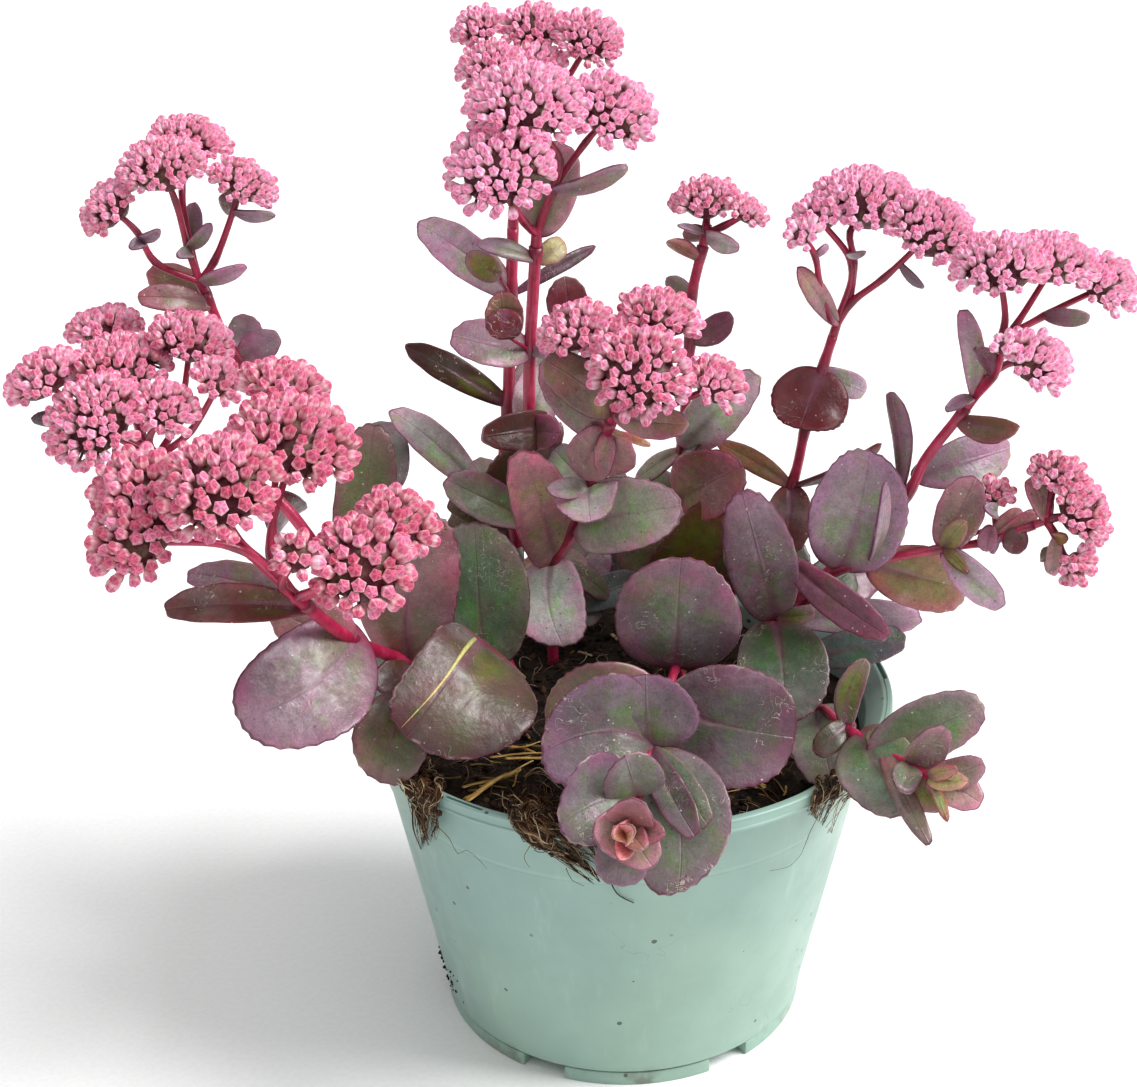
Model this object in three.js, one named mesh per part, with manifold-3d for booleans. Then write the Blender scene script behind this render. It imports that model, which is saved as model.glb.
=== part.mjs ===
// A potted jose aubergine sedum: a nursery pot of peat, leafy stems and heads of closed pink buds.
// Millimetres, +Z up. The origin is the middle of the pot's underside, on the surface that it stands on.
// The viewer of the reference photo stands on the -Y side, so +X is to the right in it and +Y is away.

import * as THREE from 'three';
import Module from 'manifold-3d';
import { mergeVertices } from 'three/addons/utils/BufferGeometryUtils.js';

const wasm = await Module();
wasm.setup();

// Driving dimensions of the pot and its filling.
const POT = {
  rimRadius: 95,
  height: 124,
  lipHeight: 4.8,
  lipWidth: 3.8,
  shoulderRadius: 88.3,
  stepHeight: 98,
  stepRadius: 84.8,
  baseRadius: 65.6,
  footHeight: 4,
  footCount: 6,
  footSpan: 46,
  footTurn: 4.75,
  hubRadius: 11,
  wall: 1.9,
  floor: 2.4,
  facets: 28,
};
const SOIL = { top: 111, roughness: 1.3, frontRise: 2.5, holeDepth: 16, facets: 15 };
const GAP = 0.35;

// Driving dimensions of the plant.
const STEM = { radius: 2.5, branch: 1.6, sides: 5, branchSides: 4 };
const NODE_DROP = 5;
const LEAF = { thick: 2.6, edge: 0.9, wave: 0.025 };
const BUD = { pitch: 9.3, tip: 2.6, valley: 1.4 };
const DOME = { tall: 0.56, arc: 1.16, turn: 88, stalk: 0.45 };

const COLOURS = {
  pot: 0x9fc0b2,
  soil: 0x2b2019,
  root: 0x6a4526,
  straw: 0xc9a457,
  shoot: 0x7d5a68,
  bud: 0xe4779a,
};

// Where the reference photo was taken from: millimetres and degrees, with the photo's middle in pixels.
const VIEW = { distance: 725, aim: 130, elevation: 28.7, pan: -1.5, tilt: 3.5, focal: 2051 };
const PHOTO_MIDDLE = { across: 568.5, down: 543.5 };

const radians = THREE.MathUtils.degToRad;
const up = new THREE.Vector3(0, 0, 1);

function viewAxes() {
  const slope = radians(VIEW.elevation);
  const level = new THREE.Vector3(0, Math.cos(slope), -Math.sin(slope));
  const right = new THREE.Vector3(1, 0, 0);
  const top = right.clone().cross(level);
  const eye = level.clone().multiplyScalar(-VIEW.distance);
  eye.z += VIEW.aim;
  const ahead = level.multiplyScalar(Math.cos(radians(VIEW.pan)));
  ahead.addScaledVector(right, Math.sin(radians(VIEW.pan)));
  const across = ahead.clone().cross(top).normalize();
  const forward = ahead.multiplyScalar(Math.cos(radians(VIEW.tilt)));
  forward.addScaledVector(top, Math.sin(radians(VIEW.tilt)));
  return { eye, across, forward, down: forward.clone().cross(across) };
}

const view = viewAxes();

// The point that the photo shows at this pixel, at this depth behind the pot's axis in millimetres.
function seen(across, down, depth) {
  const ray = view.forward.clone().multiplyScalar(VIEW.focal);
  ray.addScaledVector(view.across, across - PHOTO_MIDDLE.across);
  ray.addScaledVector(view.down, down - PHOTO_MIDDLE.down);
  return view.eye.clone().addScaledVector(ray, (depth - view.eye.y) / ray.y);
}

// A point that the photo doesn't show, in millimetres.
const at = (x, y, z) => new THREE.Vector3(x, y, z);

// A point round the pot, its angle counted from the front towards the right.
function round(angle, radius, height) {
  return at(radius * Math.sin(radians(angle)), -radius * Math.cos(radians(angle)), height);
}

function randomFrom(seed) {
  let state = seed;
  return () => {
    state = (state * 1664525 + 1013904223) % 4294967296;
    return state / 4294967296;
  };
}

// Closed geometry to a solid that can be joined and cut, and back to a named mesh.
function solidOf(geometry) {
  geometry.deleteAttribute('normal');
  geometry.deleteAttribute('uv');
  const merged = mergeVertices(geometry, 1e-4);
  return new wasm.Manifold(new wasm.Mesh({
    numProp: 3,
    vertProperties: Float32Array.from(merged.attributes.position.array),
    triVerts: Uint32Array.from(merged.index.array),
  }));
}

function join(solids) {
  return wasm.Manifold.union(solids);
}

function meshOf(name, solid, colour, roughness) {
  const { vertProperties, triVerts } = solid.getMesh();
  const geometry = new THREE.BufferGeometry();
  geometry.setAttribute('position', new THREE.BufferAttribute(vertProperties, 3));
  geometry.setIndex(new THREE.BufferAttribute(triVerts, 1));
  geometry.computeVertexNormals();
  const material = new THREE.MeshStandardMaterial({ color: colour, roughness, metalness: 0 });
  const mesh = new THREE.Mesh(geometry, material);
  mesh.name = name;
  return mesh;
}

const pathOf = (points) => (points.length > 2
  ? new THREE.CatmullRomCurve3(points, false, 'centripetal')
  : new THREE.LineCurve3(points[0], points[1]));

function tube(points, radius, sides, steps) {
  const corners = [];
  for (let i = 0; i < sides; i += 1) {
    const angle = (2 * Math.PI * i) / sides;
    corners.push(new THREE.Vector2(radius * Math.cos(angle), radius * Math.sin(angle)));
  }
  const outline = new THREE.Shape(corners);
  return solidOf(new THREE.ExtrudeGeometry(outline, { steps, extrudePath: pathOf(points) }));
}

// The point inside such a tube that is nearest to a given place, for whatever grows from it there.
function nearestInTube(points, steps, place) {
  const middles = pathOf(points).getSpacedPoints(steps);
  const found = middles.slice(1).map((end, i) => (
    new THREE.Line3(middles[i], end).closestPointToPoint(place, true, new THREE.Vector3())));
  return found.sort((a, b) => a.distanceTo(place) - b.distanceTo(place))[0];
}

// The pot: a turned shell with feet, drain holes and two slots in its rim.
function insideRadius(height) {
  const { baseRadius, shoulderRadius, height: top, footHeight, wall } = POT;
  const rise = (height - footHeight) / (top - footHeight);
  return baseRadius + (shoulderRadius - baseRadius) * rise - wall;
}

function makePot() {
  const { rimRadius: rim, height, lipHeight, lipWidth, footHeight, floor, facets } = POT;
  const lipBottom = height - lipHeight;
  const profile = [
    [0, 0],
    [POT.hubRadius, 0],
    [POT.hubRadius + 1, footHeight],
    [POT.baseRadius, footHeight],
    [POT.stepRadius, POT.stepHeight],
    [POT.stepRadius + 0.8, POT.stepHeight + 1],
    [POT.shoulderRadius, lipBottom],
    [rim, lipBottom],
    [rim, height - 0.8],
    [rim - 0.8, height],
    [rim - lipWidth, height],
    [insideRadius(lipBottom), lipBottom - 1],
    [insideRadius(footHeight + floor), footHeight + floor],
    [0, footHeight + floor],
  ].map(([radius, z]) => new THREE.Vector2(radius, z));
  let pot = solidOf(new THREE.LatheGeometry(profile, facets).rotateX(Math.PI / 2));

  for (let i = 0; i < POT.footCount; i += 1) {
    const middle = (360 / POT.footCount) * i + POT.footTurn - 90;
    const [start, end] = [radians(middle - POT.footSpan / 2), radians(middle + POT.footSpan / 2)];
    const outline = new THREE.Shape();
    outline.absarc(0, 0, POT.baseRadius - 1, start, end, false);
    outline.absarc(0, 0, POT.baseRadius - 5, end, start, true);
    const foot = new THREE.ExtrudeGeometry(outline, {
      depth: footHeight + 0.8, bevelEnabled: false, curveSegments: 3,
    });
    pot = pot.add(solidOf(foot));

    const drain = new THREE.CylinderGeometry(5, 5, 12, 6).rotateX(Math.PI / 2);
    const place = round(middle + 90 + 180 / POT.footCount, POT.baseRadius - 14, footHeight);
    pot = pot.subtract(solidOf(drain.translate(place.x, place.y, place.z)));
  }
  for (const angle of [-33, 97]) {
    const slot = new THREE.BoxGeometry(15, 1.4, 6).rotateZ(radians(angle));
    const place = round(angle, rim - 1.9, height);
    pot = pot.subtract(solidOf(slot.translate(place.x, place.y, place.z)));
  }
  return pot;
}

// The peat: a turned block whose top is uneven and rises to the front, with a hole for each stem.
function soilHeight(x, y) {
  const lumps = Math.sin(x * 0.11 + 1) * Math.cos(y * 0.13) + 0.6 * Math.sin(x * 0.23 - y * 0.19);
  const front = Math.max(0, -y - 0.4 * x) / POT.rimRadius;
  return SOIL.top + SOIL.roughness * lumps + SOIL.frontRise * front;
}

function makeSoil(holes) {
  const facetGap = insideRadius(SOIL.top) * (1 - Math.cos(Math.PI / POT.facets)) + 0.3;
  const bottom = POT.footHeight + POT.floor + GAP;
  const inner = (height) => insideRadius(height) - facetGap - GAP;
  const profile = [
    [0, bottom],
    [inner(bottom), bottom],
    [inner(SOIL.top), SOIL.top],
    [60, SOIL.top],
    [32, SOIL.top],
    [0, SOIL.top],
  ].map(([radius, z]) => new THREE.Vector2(radius, z));
  const block = new THREE.LatheGeometry(profile, SOIL.facets).rotateX(Math.PI / 2);
  const places = block.attributes.position;
  for (let i = 0; i < places.count; i += 1) {
    if (places.getZ(i) > SOIL.top - 0.1) {
      places.setZ(i, soilHeight(places.getX(i), places.getY(i)));
    }
  }
  return solidOf(block).subtract(join(holes));
}

// Root mats that hang over the rim. Each tongue is a slab bent from the peat over the lip and down.
const ROOT_MATS = [
  {
    name: 'root_mat_left',
    tongues: [{ middle: -52, wide: 9, hang: 17 }, { middle: -47, wide: 8, hang: 11 }],
  },
  {
    name: 'root_mat_front',
    tongues: [
      { middle: -23, wide: 10, hang: 12 },
      { middle: -17, wide: 12, hang: 16 },
      { middle: -10, wide: 10, hang: 20 },
    ],
  },
  { name: 'root_mat_right', tongues: [{ middle: 61, wide: 15, hang: 7 }] },
];
const MAT = { thick: 2.4, inner: 76 };

function makeTongue({ middle, wide, hang }) {
  const place = round(middle, MAT.inner, 0);
  const [low, top] = [soilHeight(place.x, place.y) + 1.4, POT.height + 0.5];
  const [rim, lip] = [POT.rimRadius, POT.height - POT.lipHeight];
  const outline = new THREE.Shape([
    [MAT.inner, low],
    [insideRadius(low) - 2.4, low],
    [insideRadius(lip) - 1.8, lip - 1],
    [rim - POT.lipWidth - 1.6, top],
    [rim + 0.4, top],
    [rim + 0.5, lip - 0.5],
    [rim - 1.5, lip - hang],
    [rim - 0.4, lip - hang],
    [rim + 0.5 + MAT.thick, lip - 0.5],
    [rim + 0.4 + MAT.thick, top + 0.6],
    [rim - 0.6, top + MAT.thick],
    [rim - POT.lipWidth - 3.2, top + MAT.thick - 0.6],
    [insideRadius(low) - 4.8, low + MAT.thick + 0.8],
    [MAT.inner, low + MAT.thick],
  ].map(([radius, z]) => new THREE.Vector2(radius, z)));
  const slab = new THREE.ExtrudeGeometry(outline, { depth: wide, bevelEnabled: false });
  slab.translate(0, 0, -wide / 2).rotateX(Math.PI / 2).rotateZ(radians(middle - 90));
  return solidOf(slab);
}

const STRAWS = [
  { name: 'straw_1', angle: -38, radius: 68, length: 30, wide: 4.4, turn: 32, lift: 3.6 },
  { name: 'straw_2', angle: -46, radius: 50, length: 22, wide: 4, turn: 8, lift: 3.2 },
  { name: 'straw_3', angle: 40, radius: 66, length: 16, wide: 3.6, turn: -30, lift: 3.2 },
];

function makeStraw({ angle, radius, length, wide, turn, lift }) {
  const place = round(angle, radius, 0);
  const chip = new THREE.BoxGeometry(length, wide, 1.4).rotateZ(radians(turn));
  return solidOf(chip.translate(place.x, place.y, soilHeight(place.x, place.y) + lift));
}

// One thick leaf from its stem to its tip. turn 0 shows its upper face to the viewer, 90 its edge and
// 180 its underside. arch lifts its middle over the straight line from base to tip, and cup its sides,
// both as a part of the leaf's own length and width.
function leafSolid(base, { tip, wide, turn = 0, arch = 0.07, cup = 0.18 }) {
  const along = tip.clone().sub(base);
  const length = along.length();
  along.normalize();
  const facing = view.eye.clone().sub(base.clone().lerp(tip, 0.5));
  facing.addScaledVector(along, -facing.dot(along)).normalize();
  const normal = facing.applyAxisAngle(along, radians(turn));
  const side = along.clone().cross(normal);

  const pinch = Math.max(0.12, 0.7 - 0.8 * wide / length);
  const around = length > 36 ? 10 : length > 14 ? 8 : 6;
  const blade = new THREE.SphereGeometry(1, around, 3);
  const places = blade.attributes.position;
  for (let i = 0; i < places.count; i += 1) {
    const [x, y, z] = [places.getX(i), places.getY(i), places.getZ(i)];
    const onRim = Math.abs(y) < 0.9;
    const angle = onRim ? Math.atan2(z, -x) + Math.PI : 0;
    const notch = Math.round((angle / (2 * Math.PI)) * around) % 2 ? 1 - LEAF.wave : 1 + LEAF.wave;
    const reach = onRim ? 0.5 - 0.5 * Math.cos(angle) * notch : 0.5;
    const across = onRim ? Math.sin(angle) * notch * (1 - pinch * (1 - reach) ** 2) : 0;
    const half = onRim ? LEAF.edge / 2 : LEAF.thick / 2;
    const lift = arch * length * 4 * reach * (1 - reach) + cup * (wide / 2) * across * across;
    const place = base.clone().addScaledVector(along, reach * length);
    place.addScaledVector(side, (wide / 2) * across);
    place.addScaledVector(normal, lift + Math.sign(y) * half);
    places.setXYZ(i, place.x, place.y, place.z);
  }
  return solidOf(blade);
}

// One domed cluster of closed buds. Four-sided cells cover the dome, and each rises to a bud's tip.
function budDome({ centre, radius, lean = up, seed }) {
  const random = randomFrom(seed);
  const normal = lean.clone().normalize();
  const first = new THREE.Vector3(1, 0, 0).cross(normal).normalize();
  first.applyAxisAngle(normal, random() * Math.PI);
  const second = normal.clone().cross(first);
  const [tall, reach] = [radius * DOME.tall, radius * DOME.arc];
  const places = [];
  const faces = [];
  const corners = new Map();

  function place(x, y, lift) {
    const angle = (Math.hypot(x, y) / reach) * radians(DOME.turn);
    const heading = Math.atan2(y, x);
    const [out, high] = [Math.sin(angle), Math.cos(angle)];
    const slope = new THREE.Vector2(out / radius, high / tall).normalize();
    const level = out * radius + slope.x * lift;
    const point = centre.clone().addScaledVector(normal, high * tall + slope.y * lift);
    point.addScaledVector(first, level * Math.cos(heading));
    point.addScaledVector(second, level * Math.sin(heading));
    places.push(point.x, point.y, point.z);
    return places.length / 3 - 1;
  }

  function corner(x, y) {
    const key = `${Math.round(x * 10)},${Math.round(y * 10)}`;
    if (!corners.has(key)) {
      corners.set(key, place(x, y, -BUD.valley));
    }
    return corners.get(key);
  }

  const cells = Math.max(3, Math.round(2 * reach / BUD.pitch));
  const pitch = 2 * reach / cells;
  const half = pitch * Math.SQRT1_2;
  const border = new Map();
  for (let row = 0; row < cells; row += 1) {
    for (let column = 0; column < cells; column += 1) {
      const x = pitch * (column + 0.5) - reach;
      const y = pitch * (row + 0.5) - reach;
      if (Math.hypot(x, y) <= reach - 0.3 * pitch) {
        const wander = () => pitch * 0.2 * (random() - 0.5);
        const tip = place(x + wander(), y + wander(), BUD.tip * (0.8 + 0.4 * random()));
        for (let k = 0; k < 4; k += 1) {
          const [a, b] = [k, k + 1].map((step) => radians(45 + 90 * step));
          const from = corner(x + half * Math.cos(a), y + half * Math.sin(a));
          const to = corner(x + half * Math.cos(b), y + half * Math.sin(b));
          faces.push(tip, from, to);
          if (!border.delete(`${to},${from}`)) {
            border.set(`${from},${to}`, [from, to]);
          }
        }
      }
    }
  }
  const stalk = centre.clone().addScaledVector(normal, -radius * DOME.stalk);
  places.push(stalk.x, stalk.y, stalk.z);
  for (const [from, to] of border.values()) {
    faces.push(to, from, places.length / 3 - 1);
  }
  const geometry = new THREE.BufferGeometry();
  geometry.setAttribute('position', new THREE.Float32BufferAttribute(places, 3));
  geometry.setIndex(faces);
  return { solid: solidOf(geometry), stalk: stalk.addScaledVector(normal, radius * 0.3) };
}

// The leafy stems. Each leaf grows from the stem point that its node counts, 0 being the first one after
// the root, and its pixel is that of its tip. root is where the stem leaves the peat, in millimetres.
const SHOOTS = [
  {
    name: 'shoot_a',
    root: at(-42, 36, 0),
    stem: [at(-60, 44, 142), at(-84, 52, 176), seen(240, 362, 60), seen(205, 293, 62)],
    leaves: [
      { node: 1, tip: at(-92, 84, 190), wide: 21 },
      { node: 2, tip: seen(250, 316, 80), wide: 13 },
      { node: 2, tip: seen(279, 336, 62), wide: 13, turn: -15 },
      { node: 3, tip: seen(146, 273, 88), wide: 15, turn: 170 },
      { node: 3, tip: seen(137, 297, 48), wide: 11, turn: 20 },
    ],
  },
  {
    name: 'shoot_b',
    root: at(-49, 16, 0),
    stem: [at(-72, 15, 140), seen(352, 590, 17), at(-124, 22, 188), seen(168, 462, 24)],
    leaves: [
      { node: 1, tip: seen(374, 424, 34), wide: 24, turn: 10 },
      { node: 2, tip: at(-122, 48, 166), wide: 18 },
      { node: 3, tip: seen(102, 482, 2), wide: 10, turn: 40 },
    ],
  },
  {
    name: 'shoot_c',
    root: at(-47, -12, 0),
    stem: [at(-57, -13, 131), seen(412, 664, -10), seen(352, 640, -38), seen(304, 604, -62)],
    leaves: [
      { node: 1, tip: seen(386, 694, -30), wide: 10, turn: 30 },
      { node: 1, tip: seen(424, 510, -10), wide: 30, turn: -4, cup: 0.06 },
      { node: 2, tip: seen(237, 722, -78), wide: 33, turn: 0 },
      { node: 2, tip: seen(271, 610, -40), wide: 18 },
      { node: 3, tip: seen(188, 574, -52), wide: 14, turn: 15 },
      { node: 3, tip: seen(166, 612, -66), wide: 13, turn: 60 },
    ],
  },
  {
    name: 'shoot_d1',
    root: at(-38, 63, 0),
    stem: [
      at(-40, 65, 150), seen(504, 480, 64), seen(508, 405, 64), seen(511, 296, 64), seen(513, 228, 64),
    ],
    leaves: [
      { node: 0, tip: at(-66, 88, 152), wide: 24 },
      { node: 1, tip: seen(393, 411, 58), wide: 15, turn: 15, arch: 0.1 },
      { node: 2, tip: seen(406, 347, 60), wide: 14, turn: 150 },
      { node: 2, tip: at(-18, 96, 226), wide: 18 },
      { node: 3, tip: seen(418, 224, 58), wide: 17, turn: 10 },
      { node: 3, tip: seen(467, 254, 50), wide: 9, turn: 180 },
      { node: 3, tip: seen(595, 247, 84), wide: 9, turn: 160 },
    ],
  },
  {
    name: 'shoot_d2',
    root: at(-18, 60, 0),
    stem: [
      at(-20, 56, 138), seen(529, 520, 50), seen(529, 432, 46), seen(530, 351, 45), seen(536, 247, 44),
    ],
    leaves: [
      { node: 1, tip: seen(445, 479, 40), wide: 18, turn: 10 },
      { node: 1, tip: seen(448, 503, 46), wide: 14, turn: 160 },
      { node: 1, tip: seen(560, 420, 40), wide: 14 },
      { node: 2, tip: seen(477, 437, 34), wide: 14, turn: 150 },
      { node: 2, tip: seen(562, 434, 34), wide: 13, turn: -150 },
      { node: 2, tip: seen(548, 366, 58), wide: 15 },
      { node: 3, tip: seen(451, 335, 36), wide: 15, turn: 10, cup: 0.3 },
      { node: 3, tip: seen(496, 293, 30), wide: 13, turn: 180 },
      { node: 3, tip: seen(566, 279, 66), wide: 11 },
      { node: 4, tip: seen(477, 246, 36), wide: 7, turn: 40 },
      { node: 4, tip: seen(565, 242, 52), wide: 8 },
    ],
  },
  {
    name: 'shoot_e',
    root: at(-26, 44, 0),
    stem: [
      at(-26, 40, 134), seen(553, 563, 33), seen(573, 526, 27), seen(590, 487, 20), seen(604, 444, 12),
      seen(611, 421, 8),
    ],
    leaves: [
      { node: 1, tip: seen(576, 648, 12), wide: 22, turn: 0, cup: 0.3 },
      { node: 1, tip: seen(608, 598, 40), wide: 10, turn: -20 },
      { node: 2, tip: seen(528, 453, 14), wide: 18, turn: 12 },
      { node: 2, tip: seen(681, 505, 4), wide: 27, turn: 0 },
      { node: 3, tip: seen(546, 488, 2), wide: 9, turn: 20 },
      { node: 3, tip: seen(615, 505, 4), wide: 10, turn: 20 },
      { node: 4, tip: seen(578, 472, 0), wide: 13, turn: 10 },
      { node: 4, tip: seen(613, 477, -4), wide: 13, turn: -10 },
    ],
  },
  {
    name: 'shoot_f',
    root: at(12, 62, 0),
    stem: [
      at(14, 58, 138), seen(678, 500, 52), seen(682, 450, 50), seen(690, 340, 52), seen(691, 300, 54),
      seen(703, 246, 57),
    ],
    leaves: [
      { node: 0, tip: at(26, 94, 150), wide: 24 },
      { node: 0, tip: seen(719, 507, 36), wide: 24, turn: 20 },
      { node: 1, tip: seen(732, 458, 26), wide: 25 },
      { node: 2, tip: seen(638, 471, 52), wide: 9, turn: 30 },
      { node: 2, tip: seen(755, 374, 26), wide: 20 },
      { node: 2, tip: seen(697, 449, 36), wide: 7, turn: 150 },
      { node: 3, tip: seen(733, 318, 46), wide: 11, turn: 160 },
      { node: 4, tip: seen(667, 278, 64), wide: 8, turn: 160 },
      { node: 5, tip: seen(667, 241, 50), wide: 7, turn: 140 },
    ],
  },
  {
    name: 'shoot_g',
    root: at(36, 52, 0),
    stem: [
      at(42, 50, 140), seen(791, 486, 46), seen(806, 425, 48), seen(822, 370, 50), seen(833, 336, 51),
    ],
    leaves: [
      { node: 0, tip: at(64, 82, 150), wide: 22 },
      { node: 1, tip: seen(719, 443, 50), wide: 11, turn: 150 },
      { node: 1, tip: seen(882, 443, 38), wide: 9, turn: 60 },
      { node: 1, tip: seen(786, 554, 30), wide: 17, turn: 170 },
      { node: 2, tip: at(76, 84, 204), wide: 18 },
      { node: 3, tip: seen(800, 429, 30), wide: 28, turn: 180, cup: 0.1 },
      { node: 3, tip: seen(866, 392, 58), wide: 10 },
    ],
  },
  {
    name: 'shoot_h',
    root: at(54, 26, 0),
    stem: [at(66, 24, 146), seen(907, 495, 12), seen(925, 460, 11), seen(966, 408, 10)],
    leaves: [
      { node: 0, tip: at(94, 48, 150), wide: 22 },
      { node: 1, tip: seen(890, 391, 6), wide: 9, turn: 150, cup: 0.4 },
      { node: 1, tip: seen(1011, 448, 30), wide: 17, turn: 0 },
      { node: 3, tip: seen(1018, 431, -2), wide: 9, turn: 130 },
    ],
  },
  {
    name: 'shoot_i',
    root: at(42, 8, 0),
    stem: [
      seen(774, 616, 5), seen(806, 592, 4), seen(840, 570, 3), seen(868, 563, 2), seen(944, 548, 0),
      seen(990, 541, -2), seen(1034, 525, -4),
    ],
    leaves: [
      { node: 0, tip: seen(742, 491, -10), wide: 24, turn: 0 },
      { node: 0, tip: seen(793, 724, -38), wide: 31, turn: 0 },
      { node: 0, tip: seen(923, 617, 22), wide: 10, turn: 20 },
      { node: 1, tip: seen(783, 553, -8), wide: 9, turn: 10 },
      { node: 1, tip: seen(892, 635, -14), wide: 15, turn: 160 },
      { node: 2, tip: seen(870, 452, 10), wide: 36, turn: 0 },
      { node: 3, tip: seen(884, 481, -10), wide: 8, turn: 60 },
      { node: 3, tip: seen(966, 592, 14), wide: 21, turn: 10 },
      { node: 4, tip: seen(976, 478, 4), wide: 17, turn: -10, cup: 0.3 },
      { node: 4, tip: seen(1004, 606, -12), wide: 15, turn: 20, cup: 0.3 },
      { node: 5, tip: seen(1037, 511, 6), wide: 7, turn: 20 },
      { node: 6, tip: seen(1012, 554, -6), wide: 9, turn: 10 },
    ],
  },
  {
    name: 'shoot_j',
    root: at(22, 2, 0),
    stem: [
      seen(676, 668, -36), seen(664, 708, -54), seen(650, 748, -73), seen(638, 796, -94),
      seen(626, 842, -114),
    ],
    leaves: [
      { node: 0, tip: seen(681, 558, -34), wide: 42, turn: 0, cup: 0.1 },
      { node: 1, tip: seen(797, 738, -62), wide: 40, turn: 0, cup: 0.12 },
      { node: 1, tip: seen(546, 722, -54), wide: 34, turn: 5 },
      { node: 2, tip: seen(646, 673, -70), wide: 33, turn: 0, arch: 0.05 },
      { node: 2, tip: seen(541, 752, -86), wide: 32, turn: -5, cup: 0.3 },
      { node: 2, tip: seen(697, 836, -104), wide: 15, turn: 25, cup: 0.3 },
      { node: 3, tip: seen(626, 757, -104), wide: 21, turn: 0 },
      { node: 3, tip: seen(563, 822, -112), wide: 22, turn: 0, cup: 0.3 },
      { node: 3, tip: seen(688, 893, -110), wide: 26, turn: 0 },
      { node: 4, tip: seen(597, 838, -122), wide: 12 },
      { node: 4, tip: seen(634, 814, -126), wide: 12 },
      { node: 4, tip: seen(648, 868, -124), wide: 13 },
      { node: 4, tip: seen(617, 886, -116), wide: 17 },
    ],
  },
  {
    name: 'shoot_k',
    root: at(58, -8, 0),
    stem: [
      seen(816, 708, -18), seen(846, 728, -52), seen(881, 748, -68), seen(911, 766, -80),
      seen(940, 782, -92),
    ],
    leaves: [
      { node: 0, tip: seen(793, 776, -52), wide: 18, turn: 10 },
      { node: 1, tip: seen(864, 662, -44), wide: 12, turn: 40, cup: 0.4 },
      { node: 1, tip: seen(815, 755, -62), wide: 10, turn: 40 },
      { node: 2, tip: seen(982, 704, -64), wide: 19, turn: 5 },
      { node: 2, tip: seen(902, 813, -90), wide: 24, turn: 0 },
      { node: 2, tip: seen(930, 845, -104), wide: 9, turn: 40 },
      { node: 3, tip: seen(944, 729, -84), wide: 15, turn: 10 },
      { node: 3, tip: seen(904, 794, -98), wide: 10, turn: 30 },
      { node: 3, tip: seen(938, 812, -94), wide: 12, turn: 0 },
      { node: 4, tip: seen(985, 762, -96), wide: 11, turn: 20 },
      { node: 4, tip: seen(981, 804, -98), wide: 13, turn: -10 },
    ],
  },
  {
    name: 'shoot_l',
    root: at(-50, 1, 0),
    stem: [at(-51, -3, 128), seen(492, 664, -4)],
    leaves: [
      { node: 0, tip: seen(378, 780, -78), wide: 20, turn: 0, arch: 0.16 },
      { node: 1, tip: seen(393, 744, -66), wide: 43, turn: 0, arch: 0.16, cup: 0.1 },
      { node: 1, tip: seen(478, 524, 8), wide: 30, turn: 0 },
    ],
  },
];

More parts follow.
